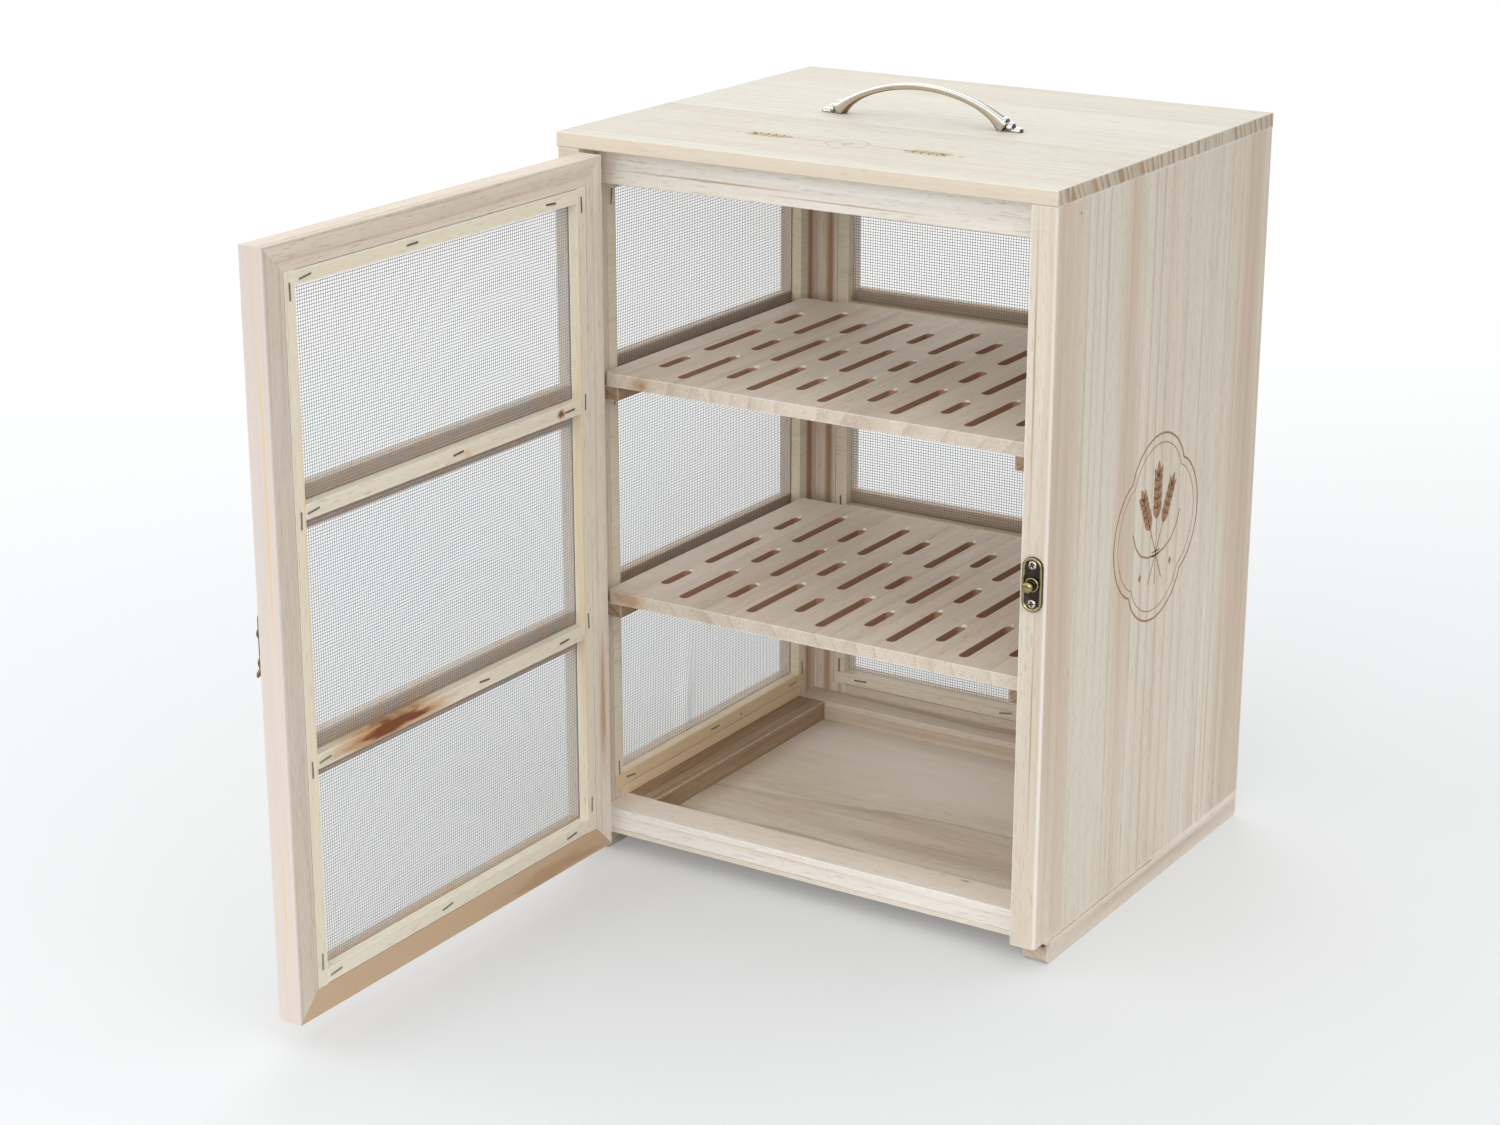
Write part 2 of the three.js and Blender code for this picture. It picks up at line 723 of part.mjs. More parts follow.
function addLatch(parent, door) {
  const strike = new THREE.Group();
  strike.position.set(studX, -seam, latchHeight);
  strike.rotation.x = Math.PI / 2;
  addPiece(strike, "latch_strike_plate", latchPlate(), agedBrass);
  addPiece(strike, "latch_stud", stud(), agedBrass);
  parent.add(strike);

  const keeper = new THREE.Group();
  keeper.position.set(studX - pivotToStud - pinX, -seam - pinY, latchHeight);
  keeper.rotation.x = Math.PI / 2;
  addPiece(keeper, "latch_hook_plate", latchPlate(), agedBrass);
  addPiece(keeper, "latch_pivot", pivot(), agedBrass);
  const swinging = addPiece(keeper, "latch_hook", hook(), agedBrass, 0, 0, hookFoot);
  swinging.rotation.z = -Math.PI / 2;
  door.add(keeper);
}

// Half of the bow's section: share of the half width, share of the flute's depth, share of the thickness.
const bowSection = [
  [0, 0, 0],
  [0.3, 0.15, 0],
  [0.55, 1, 0],
  [0.76, 0, 0.04],
  [0.93, 0, 0.14],
  [1, 0, 0.45],
  [0.82, 0, 0.9],
  [0.4, 0, 1],
];

// Bow handle: a fluted bar under one even arc. It deepens inwards towards both feet, which end in cast leaves.
function bowHandle() {
  const halfSpan = handleSpan / 2;
  const drop = handleRise - footShoulder;
  const radius = (halfSpan * halfSpan + drop * drop) / (2 * drop);
  const sweep = Math.asin(halfSpan / radius);
  const mirrored = bowSection.slice(1).map(([wide, flute, deep]) => [-wide, flute, deep]);
  const section = [...bowSection.slice().reverse(), ...mirrored];
  const rings = [];
  const steps = 24;
  for (let step = 0; step <= steps; step += 1) {
    const share = (2 * step) / steps - 1;
    const angle = share * sweep;
    const swell = Math.abs(share) ** 6;
    const halfWide = (bowWidth + (footWidth - bowWidth) * swell) / 2;
    const thickness = bowThickness + (footThickness - bowThickness) * swell;
    const ring = section.map(([wide, flute, deep]) => {
      const reach = radius - fluteDepth * flute - thickness * deep;
      return [reach * Math.sin(angle), halfWide * wide, handleRise - radius + reach * Math.cos(angle)];
    });
    rings.push(ring);
  }
  return lofted(rings);
}

// Skins a row of rings, each with the same number of points, and closes both ends.
function lofted(rings) {
  const positions = rings.flat(2);
  const count = rings[0].length;
  const faces = [];
  for (let ring = 0; ring < rings.length - 1; ring += 1) {
    for (let side = 0; side < count; side += 1) {
      const next = (side + 1) % count;
      const a = ring * count + side;
      const b = ring * count + next;
      faces.push(a, b, a + count, b, b + count, a + count);
    }
  }
  const last = (rings.length - 1) * count;
  for (let side = 1; side < count - 1; side += 1) {
    faces.push(0, side + 1, side);
    faces.push(last, last + side, last + side + 1);
  }
  const geometry = new THREE.BufferGeometry();
  geometry.setAttribute("position", new THREE.BufferAttribute(new Float32Array(positions), 3));
  geometry.setIndex(faces);
  return geometry;
}

// The collar, lobe and pointed tip of the leaf at one end.
function handleLeaf(side) {
  return [collar, lobe, leafTip].map(({ out, rise, length, width, height }) => {
    const swelling = new THREE.SphereGeometry(0.5, 12, 8);
    return swelling.scale(length, width, height).translate(side * (handleSpan / 2 + out), 0, rise);
  });
}

function addHandle(parent) {
  const whole = joined(bowHandle(), ...handleLeaf(-1), ...handleLeaf(1));
  const below = block(
    -handleSpan, handleSpan,
    -footWidth, footWidth,
    -handleRise, 0,
  );
  addPiece(parent, "handle", cut(whole, below), nickel, 0, caseDepth / 2, caseHeight + seam);
}

// Assembly
const safe = new THREE.Group();
safe.position.set(0, -originY, standingHeight);
addCase(safe);

const leftSide = new THREE.Group();
leftSide.position.set(-halfWidth, 0, 0);
leftSide.quaternion.setFromRotationMatrix(new THREE.Matrix4().makeBasis(alongY, alongZ, alongX));
addPanel(leftSide, leftPanel);
safe.add(leftSide);

const back = new THREE.Group();
back.position.set(-innerHalfWidth + seam, caseDepth, 0);
back.rotation.x = Math.PI / 2;
addPanel(back, backPanel);
safe.add(back);

const door = new THREE.Group();
door.position.set(pinX, pinY, 0);
door.rotation.z = -THREE.MathUtils.degToRad(doorRestOpening);
const doorLeaf = new THREE.Group();
doorLeaf.position.set(doorReach, -pinY, -doorBottomDrop);
doorLeaf.quaternion.setFromRotationMatrix(
  new THREE.Matrix4().makeBasis(alongX.clone().negate(), alongZ, alongY),
);
addPanel(doorLeaf, doorPanel);
door.add(doorLeaf);
safe.add(door);

addShelves(safe);
addHinges(safe, door);
addLatch(safe, door);
addHandle(safe);

const root = new THREE.Group();
root.add(safe);

export default root;
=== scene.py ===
# Table-top pie safe: bare pale wood, fine wire cloth, a nickel bow handle and aged brass fittings.
import math
import random
from functools import partial
from types import SimpleNamespace
import bmesh
import bpy
from mathutils import Matrix, Vector


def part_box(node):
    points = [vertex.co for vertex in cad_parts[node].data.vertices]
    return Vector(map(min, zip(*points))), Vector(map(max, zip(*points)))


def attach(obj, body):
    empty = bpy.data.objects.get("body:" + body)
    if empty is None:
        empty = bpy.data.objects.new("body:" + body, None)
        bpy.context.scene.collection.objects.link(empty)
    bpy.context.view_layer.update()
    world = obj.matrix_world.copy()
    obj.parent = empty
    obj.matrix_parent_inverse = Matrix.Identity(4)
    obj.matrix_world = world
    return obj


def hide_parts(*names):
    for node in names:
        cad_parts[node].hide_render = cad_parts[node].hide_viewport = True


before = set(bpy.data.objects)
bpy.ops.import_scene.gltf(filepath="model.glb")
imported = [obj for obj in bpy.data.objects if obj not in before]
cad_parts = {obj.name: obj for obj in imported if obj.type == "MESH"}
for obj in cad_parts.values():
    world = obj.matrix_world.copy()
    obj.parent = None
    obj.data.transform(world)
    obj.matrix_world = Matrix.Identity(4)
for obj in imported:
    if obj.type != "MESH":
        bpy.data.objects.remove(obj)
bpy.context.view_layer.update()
scene = bpy.context.scene
print("loaded", len(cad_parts), "pieces")


# Small helpers
up = Vector((0, 0, 1))
toRight = Vector((1, 0, 0))
toBack = Vector((0, 1, 0))
white = (1.0, 1.0, 1.0, 1.0)


def mm(*lengths):
    values = [length / 1000 for length in lengths]
    return values[0] if len(values) == 1 else Vector(values)


def corners(node):
    return [Vector(corner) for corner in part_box(node)]


def roundAngles(count):
    return [2 * math.pi * k / count for k in range(count)]


def colour(red, green, blue):
    # from screen values of 0 to 255 to the linear ones that shaders take
    linear = []
    for value in (red, green, blue):
        share = value / 255
        linear.append(share / 12.92 if share <= 0.04045 else ((share + 0.055) / 1.055) ** 2.4)
    return (*linear, 1.0)


def plug(socket, value):
    if isinstance(value, bpy.types.NodeSocket):
        socket.id_data.links.new(value, socket)
    else:
        socket.default_value = value


def addNode(tree, kind, inputs, **settings):
    node = tree.nodes.new("ShaderNode" + kind)
    for name, value in settings.items():
        setattr(node, name, value)
    for name, value in inputs.items():
        plug(node.inputs[name], value)
    return node


def treeOf(*values):
    # the node tree that holds the first socket among the values
    return next(value.id_data for value in values if isinstance(value, bpy.types.NodeSocket))


def maths(operation, first, second=0.0, clamp=False):
    inputs = {0: first, 1: second}
    return addNode(treeOf(first, second), "Math", inputs, operation=operation, use_clamp=clamp).outputs[0]


plus = partial(maths, "ADD")
minus = partial(maths, "SUBTRACT")
times = partial(maths, "MULTIPLY")


def vectorMaths(operation, first, second=(0, 0, 0)):
    node = addNode(treeOf(first, second), "VectorMath", {0: first, 1: second}, operation=operation)
    return node.outputs["Value" if operation == "LENGTH" else "Vector"]


def stretch(vector, *scale):
    return vectorMaths("MULTIPLY", vector, scale)


def parts(vector):
    return addNode(treeOf(vector), "SeparateXYZ", {0: vector}).outputs


def joined(x, y, z):
    return addNode(treeOf(x, y, z), "CombineXYZ", {0: x, 1: y, 2: z}).outputs[0]


def noise(vector, scale, detail=2.0, roughness=0.5):
    inputs = {"Vector": vector, "Scale": scale, "Detail": detail, "Roughness": roughness}
    return addNode(treeOf(vector), "TexNoise", inputs).outputs["Fac"]


def remap(value, fromLow, fromHigh, toLow=0.0, toHigh=1.0, smooth=False):
    inputs = {0: value, 1: fromLow, 2: fromHigh, 3: toLow, 4: toHigh}
    kind = "SMOOTHSTEP" if smooth else "LINEAR"
    return addNode(treeOf(value), "MapRange", inputs, interpolation_type=kind, clamp=True).outputs[0]


def blend(share, first, second):
    inputs = {0: share, 6: first, 7: second}
    return addNode(treeOf(share, first, second), "Mix", inputs, data_type="RGBA").outputs[2]


def newGroup(name, inputs, outputs):
    # each input has its value at rest, or None for a vector
    group = bpy.data.node_groups.new(name, "ShaderNodeTree")
    for label, value in inputs.items():
        kind = "Vector" if value is None else "Float" if isinstance(value, float) else "Color"
        socket = group.interface.new_socket(name=label, in_out="INPUT", socket_type="NodeSocket" + kind)
        if value is not None:
            socket.default_value = value
    for label in outputs:
        kind = "NodeSocketColor" if label == "Color" else "NodeSocketFloat"
        group.interface.new_socket(name=label, in_out="OUTPUT", socket_type=kind)
    return group, group.nodes.new("NodeGroupInput").outputs, group.nodes.new("NodeGroupOutput").inputs


# Each pattern in the board's grain: its length along X against its breadth, the noise's scale per metre,
# detail and roughness, and the range of the noise that counts
grainPatterns = {
    "patches": (0.12, 26, 3, 0.5, 0.38, 0.62),
    "fibres": (0.03, 620, 4, 0.62, 0.36, 0.66),
    "bands": (0.03, 95, 3, 0.6, 0.32, 0.7),
    "pores": (0.07, 1150, 1, 0.5, 0.63, 0.72),
    "drift": (0.35, 7, 2, 0.5, 0.3, 0.7),
    "flecks": (0.5, 420, 3, 0.7, 0.35, 0.65),
    "belts": (0.02, 24, 3, 0.5, 0.5, 0.68),
}
grain = {
    # metres that keep the counts of strips and of rings above nought
    "edge": 10.0, "inner": 5.0,
    "stripShift": (9.0, 0.37), "stripPith": (0.05, 0.3), "seam": (0.492, 0.499),
    "sway": (9.0, 3.0, 0.55), "growth": 0.55, "unevenYears": 1.6, "lateWood": 7.0, "earlyWood": 0.18,
    "endOfRing": (0.95, 1.0), "endGrain": (0.7, 0.9), "leastRings": 0.15,
    "fibreShare": 0.45, "bandShare": 0.55, "driftShare": 0.12, "fleck": 0.05, "wearAndHighlightShare": 0.5,
    "poreShare": 0.26, "endPores": 0.2, "poreBrown": (0.16, 0.1, 0.06, 1.0),
    "roughness": (0.74, 0.6), "fibreHeight": 0.5, "ringHeight": 0.4,
}


# Board: growth rings round a pith, fine fibres, pores and a slow drift of tone. Grain runs along X.
def buildBoardGroup():
    group, given, made = newGroup("boardGrain", {
        "Position": None, "Facing": None, "Seed": 0.0, "Pale": white, "Brown": white, "Pith": None,
        "Ring spacing": 0.005, "Ring strength": 0.5, "Wander": 0.01, "Fibre strength": 0.3,
        "Strip width": 1.0, "Strip spread": 0.0, "Wear and highlight": 0.0, "End share": 0.2, "End rings": 0.4,
        "Blush": white, "Blush strength": 0.2,
    }, ("Color", "Roughness", "Height"))
    position = given["Position"]
    stripPlace = maths("DIVIDE", plus(parts(position)[1], grain["edge"]), given["Strip width"])
    strip = maths("FLOOR", stripPlace)
    stripTone = addNode(group, "TexWhiteNoise", {"W": strip}, noise_dimensions="1D").outputs[0]
    stripLean = minus(stripTone, 0.5)
    stripEdge = maths("ABSOLUTE", minus(maths("FRACT", stripPlace), 0.5))
    shift, shiftAcross = grain["stripShift"]
    seed = plus(given["Seed"], times(stripTone, shift))
    place = vectorMaths("ADD", position, joined(seed, times(seed, shiftAcross), seed))

    def pattern(name, toLow=0.0, toHigh=1.0, smooth=False):
        along, scale, detail, roughness, low, high = grainPatterns[name]
        marks = noise(stretch(place, along, 1.0, 1.0), scale, detail, roughness)
        return remap(marks, low, high, toLow, toHigh, smooth)

    # rings, by the distance from the pith, drawn out of true by slow noise
    slow = stretch(place, grainPatterns["patches"][0], 1.0, 1.0)
    wander = times(minus(noise(slow, *grain["sway"]), 0.5), given["Wander"])
    stripTurn = joined(0.0, *[times(stripLean, reach) for reach in grain["stripPith"]])
    fromPith = vectorMaths("ADD", vectorMaths("SUBTRACT", position, given["Pith"]), stripTurn)
    radius = plus(vectorMaths("LENGTH", stretch(fromPith, 0.0, 1.0, 1.0)), wander)
    years = maths("DIVIDE", plus(radius, grain["inner"]), given["Ring spacing"])
    inputs = {"W": plus(years, seed), "Scale": grain["growth"], "Detail": 1.0}
    growth = addNode(group, "TexNoise", inputs, noise_dimensions="1D").outputs["Fac"]
    ring = maths("FRACT", plus(years, times(growth, grain["unevenYears"])))
    lateWood = plus(maths("POWER", ring, grain["lateWood"]), times(ring, grain["earlyWood"]))
    rings = times(lateWood, remap(ring, *grain["endOfRing"], 1.0, 0.0, smooth=True))
    fibres = pattern("fibres")
    pores = pattern("pores")

    # end grain drinks more light and shows its rings and pores plainly
    endGrain = remap(maths("ABSOLUTE", parts(given["Facing"])[0]), *grain["endGrain"])
    ringShare = times(given["Ring strength"], pattern("patches", grain["leastRings"]))
    ringShare = remap(endGrain, 0.0, 1.0, ringShare, given["End rings"])
    darkening = times(rings, ringShare)
    for share in (
        times(times(minus(1.0, fibres), given["Fibre strength"]), grain["fibreShare"]),
        times(times(minus(1.0, pattern("bands")), given["Fibre strength"]), grain["bandShare"]),
        times(pattern("drift"), grain["driftShare"]),
        pattern("flecks", -grain["fleck"], grain["fleck"]),
        times(stripLean, given["Strip spread"]),
        times(remap(stripEdge, *grain["seam"]), given["Strip spread"]),
    ):
        darkening = plus(darkening, share)
    darkening = plus(darkening, times(endGrain, given["End share"]), clamp=True)
    tone = blend(darkening, given["Pale"], given["Brown"])
    tone = blend(times(pattern("belts", smooth=True), given["Blush strength"]), tone, given["Blush"])
    # edge wear and painted highlight: the arrises turn halfway to white
    tone = blend(times(given["Wear and highlight"], grain["wearAndHighlightShare"]), tone, blend(0.5, given["Pale"], white))
    poreShare = plus(grain["poreShare"], times(endGrain, grain["endPores"]))
    plug(made["Color"], blend(times(pores, poreShare), tone, grain["poreBrown"]))
    plug(made["Roughness"], remap(fibres, 0.0, 1.0, *grain["roughness"]))
    height = minus(times(fibres, grain["fibreHeight"]), pores)
    plug(made["Height"], minus(height, times(rings, grain["ringHeight"])))
    return group


# Edge wear and painted highlight: a ragged band along the arrises of a board, found from its lowest and
# highest corners
edgeWearAndHighlight = {"ragged": (240.0, 3.0, 0.6), "reach": 2.0, "fade": (0.3, 1.0)}


def buildEdgeGroup():
    group, given, made = newGroup(
        "edgeWearAndHighlight", {"Position": None, "Low": None, "High": None, "Width": 0.001}, ["Mask"])
    fromLow = vectorMaths("SUBTRACT", given["Position"], given["Low"])
    fromHigh = vectorMaths("SUBTRACT", given["High"], given["Position"])
    x, y, z = parts(vectorMaths("MINIMUM", fromLow, fromHigh))
    # the middle one of the three distances is the distance to the nearest arris
    larger = maths("MINIMUM", maths("MAXIMUM", x, y), z)
    middle = maths("MAXIMUM", maths("MINIMUM", x, y), larger)
    reach = times(given["Width"], times(noise(given["Position"], *edgeWearAndHighlight["ragged"]), edgeWearAndHighlight["reach"]))
    plug(made["Mask"], remap(maths("DIVIDE", middle, reach), *edgeWearAndHighlight["fade"], 1.0, 0.0, smooth=True))
    return group


# Knot: a soft-edged oval of darker wood with a ring round it
knotShape = {"ragged": (2.3, 3.0, 0.6), "stray": 0.9, "Heart": (0.35, 0.6), "Halo": (0.5, 1.15)}


def buildKnotGroup():
    group, given, made = newGroup("knot", {"Position": None, "Centre": None, "Size": None}, ["Heart", "Halo"])
    offset = vectorMaths("SUBTRACT", given["Position"], given["Centre"])
    scaled = vectorMaths("DIVIDE", offset, given["Size"])
    ragged = times(minus(noise(scaled, *knotShape["ragged"]), 0.5), knotShape["stray"])
    away = plus(vectorMaths("LENGTH", scaled), ragged)
    for name in ("Heart", "Halo"):
        plug(made[name], remap(away, *knotShape[name], 1.0, 0.0, smooth=True))
    return group


# Tarnish: cloudy patches and fine scratches on metal
tarnish = {
    "clouds": (5.0, 0.62), "least": 0.78, "growth": 0.5, "edge": 0.16, "fine": 4000.0, "fineHeight": 0.4,
}


def buildTarnishGroup():
    group, given, made = newGroup(
        "tarnish", {"Position": None, "Patch scale": 300.0, "Amount": 0.5}, ["Mask", "Height"])
    clouds = noise(given["Position"], given["Patch scale"], *tarnish["clouds"])
    low = minus(tarnish["least"], times(given["Amount"], tarnish["growth"]))
    plug(made["Mask"], remap(clouds, low, plus(low, tarnish["edge"]), smooth=True))
    fine = noise(stretch(given["Position"], 1.0, 1.0, 0.1), tarnish["fine"])
    plug(made["Height"], plus(times(fine, tarnish["fineHeight"]), clouds))
    return group


boardGroup = buildBoardGroup()
edgeGroup = buildEdgeGroup()
knotGroup = buildKnotGroup()
tarnishGroup = buildTarnishGroup()
print("shader groups made")


def newMaterial(name):
    # a material, its shader and the object's own coordinates
    material = bpy.data.materials.new(name)
    material.use_nodes = True
    tree = material.node_tree
    tree.nodes.clear()
    shader = addNode(tree, "BsdfPrincipled", {})
    addNode(tree, "OutputMaterial", {0: shader.outputs[0]})
    return material, shader, addNode(tree, "TexCoord", {}).outputs


def dress(shader, tone, roughness, height=None, strength=0.0, depth=0.0):
    plug(shader.inputs["Base Color"], tone)
    plug(shader.inputs["Roughness"], roughness)
    if height is not None:
        inputs = {"Height": height, "Strength": strength, "Distance": mm(depth)}
        plug(shader.inputs["Normal"], addNode(shader.id_data, "Bump", inputs).outputs[0])


def placeGroup(shader, group, inputs):
    node = shader.id_data.nodes.new("ShaderNodeGroup")
    node.node_tree = group
    for name, value in inputs.items():
        plug(node.inputs[name], value)
    return node.outputs


def alongGrain(vector, axis):
    # swaps the axes so that the grain runs along X
    if axis == "x":
        return vector
    split = parts(vector)
    return joined(*[split[i] for i in {"y": (1, 0, 2), "z": (2, 1, 0)}[axis]])


# Timbers: pale and brown in screen colours, the strength of the rings and the fibres, how much darker the
# ends are, the strength of the rings on them, and the blush with its share
timberInputs = (
    "Pale", "Brown", "Ring strength", "Fibre strength", "End share", "End rings", "Blush", "Blush strength")
timbers = {
    "top": ((221, 220, 209), (180, 150, 120), 0.26, 0.2, 0.22, 1.5, (226, 214, 196), 0.25),
    "side": ((236, 229, 215), (172, 146, 118), 0.46, 0.24, 0.2, 0.4, (212, 192, 172), 0.6),
    "pale": ((255, 254, 250), (214, 184, 150), 0.6, 0.3, 0.2, 0.4, (246, 228, 208), 0.6),
    "frame": ((234, 224, 211), (184, 160, 134), 0.45, 0.32, 0.25, 0.5, (214, 190, 166), 0.7),
    "dull": ((221, 211, 198), (174, 150, 126), 0.45, 0.32, 0.25, 0.5, (206, 178, 152), 0.5),
    "cream": ((244, 236, 225), (194, 170, 144), 0.45, 0.32, 0.25, 0.5, (222, 200, 180), 0.6),
    "bar": ((192, 168, 140), (126, 98, 74), 0.55, 0.6, 0.1, 0.6, (168, 136, 108), 0.8),
    "bead": ((243, 237, 220), (208, 190, 158), 0.35, 0.28, 0.2, 0.3, (236, 222, 188), 0.6),
    "shelf": ((235, 224, 210), (174, 150, 126), 0.36, 0.3, -0.02, 0.3, (218, 198, 178), 0.4),
    "ply": ((245, 235, 219), (184, 160, 132), 0.5, 0.36, 0.3, 0.4, (226, 206, 182), 0.4),
}
# the slots' walls are browner, but not the shelf's outer edges, which lie within the rim
routed = {"wall": (164, 120, 94), "share": 0.9, "rim": 3.0, "steep": 0.5, "atTop": 0.05, "weld": 0.01}

# Knots and streaks: the halo's strength and colour, then the heart's where there is one
knots = {
    "reddish": (0.75, (196, 150, 104), 0.85, (104, 58, 34)),
    "pinKnot": (0.5, (190, 168, 142), 0.8, (140, 108, 80)),
    "tornKnot": (0.6, (170, 142, 112), 0.9, (92, 66, 44)),
    "streak": (0.5, (196, 166, 132), 0.5, (176, 136, 100)),
    "honey": (0.4, (232, 204, 160), 0.3, (222, 176, 116)),
    "straw": (0.35, (238, 222, 188), 0.5, (230, 202, 156)),
    "amber": (0.65, (202, 146, 92), 0.9, (114, 54, 26)),
    "rosy": (0.42, (208, 186, 164), 0.3, (200, 174, 150)),
    "pinHole": (0.4, (150, 120, 92), 0.9, (84, 60, 42)),
    "rust": (0.6, (184, 142, 104), 0.5, (150, 102, 66)),
    # painted highlight: a near-white halo for the side's rounded front corner
    "cornerHighlight": (0.85, (248, 240, 232)),
    # painted light: a near-white halo for the floor's back
    "paintedBackLight": (0.7, (248, 240, 232)),
    "palePink": (0.75, (232, 220, 213)),
    "shaded": (0.5, (206, 170, 136)),
    "tanned": (0.95, (204, 175, 143)),
    # painted light: a light, warm halo
    "warmPaintedLight": (0.9, (244, 218, 182)),
    "blond": (0.5, (236, 216, 190)),
}
# each board's own, with place and half sizes in millimetres
knotPlaces = {
    "door_bead_lower": [
        ("streak", (-141, -232, 176), (12, 60, 9)),
        ("amber", (-141, -216, 177), (30, 62, 8)),
    ],
    "shelf_upper": [("pinKnot", (-127, 24.6, 334), (3, 3, 2.2)), ("streak", (-128, 24.6, 334), (11, 5, 8))],
    "shelf_lower": [("streak", (-140, 24.6, 185), (20, 4, 9))],
    "runner_right": [("tornKnot", (174, 26, 13.5), (6, 7, 4))],
    "door_bead_upper": [("reddish", (-141, -43, 329), (6, 5, 4)), ("honey", (-141, -140, 327), (6, 6, 4))],
    "door_bead_latch": [("straw", (-143, -290, 300), (8, 2.6, 260))],
    "door_bead_hinge": [("straw", (-143, -22, 240), (8, 2, 260))],
    "top_panel": [("blond", (0, 7, 491), (900, 1.6, 60))],
    "top_rail": [
        # painted shade: this streak darkens the rail's left end, beside the door
        ("streak", (-166, 24, 478), (22, 40, 40)),
        ("streak", (-70, 24, 474), (80, 30, 0.8)),
        ("streak", (30, 24, 470), (70, 30, 0.6)),
    ],
    "left_beads": [("honey", (-161, 161, 44), (10, 900, 9)), ("pinHole", (-161, 197, 43.5), (2, 1.5, 1.5))],
    # painted light on the floor's back
    "floor_panel": [("paintedBackLight", (40, 250, 18), (260, 90, 30))],
    "bottom_rail": [("pinKnot", (107, 48, 32.5), (6, 1.2, 2))],
    "door_rail_bottom": [
        ("tanned", (-141, -156, 30), (15, 900, 160)),
        ("streak", (-142, -60, 22), (8, 90, 9)),
    ],
    "door_stile_hinge": [("streak", (-142, -3, 120), (6, 4, 60))],
    "door_stile_latch": [
        ("palePink", (-150, -317, 252), (40, 3.2, 900)),
        ("straw", (-147, -317, 330), (2.6, 4, 210)),
        ("straw", (-149, -317, 90), (2.2, 4, 80)),
    ],
    "side_panel": [
        ("pinHole", (178, 38, 479.8), (2, 1.3, 1.3)),
        ("rosy", (178, 20, 300), (8, 24, 330)),
        ("rosy", (178, 114, 330), (8, 17, 300)),
        ("rosy", (178, 292, 250), (8, 30, 420)),
        # painted highlight down the side's rounded front corner
        ("cornerHighlight", (178.4, 6.8, 250), (2.4, 2.6, 900)),
        ("streak", (166, 7, 380), (1, 2, 120)),
        ("streak", (171, 7, 160), (0.8, 2, 90)),
    ],
    "back_stile_left": [
        ("rust", (-150, 300, 250), (4, 8, 400)),
        ("streak", (-139, 300, 250), (2.4, 8, 400)),
    ],
    # painted light: the left rail's bottom is lighter and warmer
    "left_rail_bottom": [("warmPaintedLight", (-161, 161, 30), (6, 900, 60))],
    "left_stile_back": [("rust", (-161, 290, 250), (6, 5, 400))],
}
# painted shade: the muntins are darker where the wire lies over them
for side, place, size in (
    ("door", (-149.4, -156), (3, 900, 90)),
    ("left", (-169.4, 161), (3, 900, 90)),
    ("back", (0, 307.4), (900, 3, 90)),
):
    for level, height in (("lower", 176.5), ("upper", 329)):
        knotPlaces[f"{side}_muntin_{level}"] = [("shaded", (*place, height), size)]

# Each board: its timber, the way its grain runs, where the pith lay across it, how far apart its rings are
# and how far they wander. A pith far off in the plane of a face gives it straight lines.
boards = {
    "top_panel": ("top", "x", (-500, 262), 8, 8),
    "side_panel": ("side", "z", (-420, 200), 13, 5),
    "top_rail": ("pale", "x", (70, 360), 9, 26),
    "bottom_rail": ("pale", "x", (20, -120), 10, 26),
    "base_bar_back": ("frame", "x", (320, -80), 8, 20),
    "base_bar_left": ("bar", "y", (-190, 110), 6, 24),
    "base_bar_right": ("bar", "y", (190, 110), 6.5, 24),
    "floor_panel": ("ply", "x", (60, -420), 15, 60),
    "runner_left": ("frame", "y", (-120, -90), 8, 20),
    "runner_right": ("frame", "y", (120, -90), 8, 20),
    "left_stile_front": ("frame", "z", (-160, -120), 9, 16),
    "left_stile_back": ("frame", "z", (480, -140), 9, 16),
    "left_rail_bottom": ("frame", "y", (-120, -160), 8.5, 20),
    "left_rail_top": ("frame", "y", (-120, 660), 8.5, 20),
    "left_muntin_lower": ("frame", "y", (-140, 30), 8, 20),
    "left_muntin_upper": ("frame", "y", (-140, 500), 8, 20),
    "left_beads": ("bead", "y", (-120, 600), 6, 14),
    "back_stile_left": ("cream", "z", (240, -300), 9, 16),
    "back_stile_right": ("frame", "z", (240, 300), 9, 16),
    "back_rail_bottom": ("frame", "x", (240, -120), 8.5, 20),
    "back_rail_top": ("frame", "x", (240, 640), 8.5, 20),
    "back_muntin_lower": ("frame", "x", (240, 30), 8, 20),
    "back_muntin_upper": ("frame", "x", (240, 500), 8, 20),
    "back_beads": ("bead", "x", (200, 600), 6, 14),
    "door_stile_latch": ("dull", "z", (-560, -60), 9, 14),
    "door_stile_hinge": ("cream", "z", (-260, -60), 9, 14),
    "door_rail_bottom": ("dull", "y", (-60, -190), 8.5, 20),
    "door_rail_top": ("frame", "y", (-60, 660), 8.5, 18),
    "door_muntin_lower": ("frame", "y", (-190, 20), 8, 18),
    "door_muntin_upper": ("frame", "y", (-190, 500), 8, 18),
    "door_bead_latch": ("bead", "z", (-440, -100), 6, 12),
    "door_bead_hinge": ("bead", "z", (160, -100), 6, 12),
    "door_bead_bottom": ("bead", "y", (-90, -120), 6, 12),
    "door_bead_top": ("bead", "y", (-90, 600), 6, 12),
    "door_bead_lower": ("bead", "y", (-90, 40), 6, 12),
    "door_bead_upper": ("bead", "y", (-90, 500), 6, 12),
    "shelf_lower": ("shelf", "y", (-460, -40), 19, 22),
    "shelf_upper": ("shelf", "y", (420, 160), 21, 22),
}
for level, pith in (("lower", 100), ("upper", 250)):
    for hand, aside in (("left", -220), ("right", 220)):
        boards[f"cleat_{level}_{hand}"] = ("bar", "y", (aside, pith), 6.0, 16)
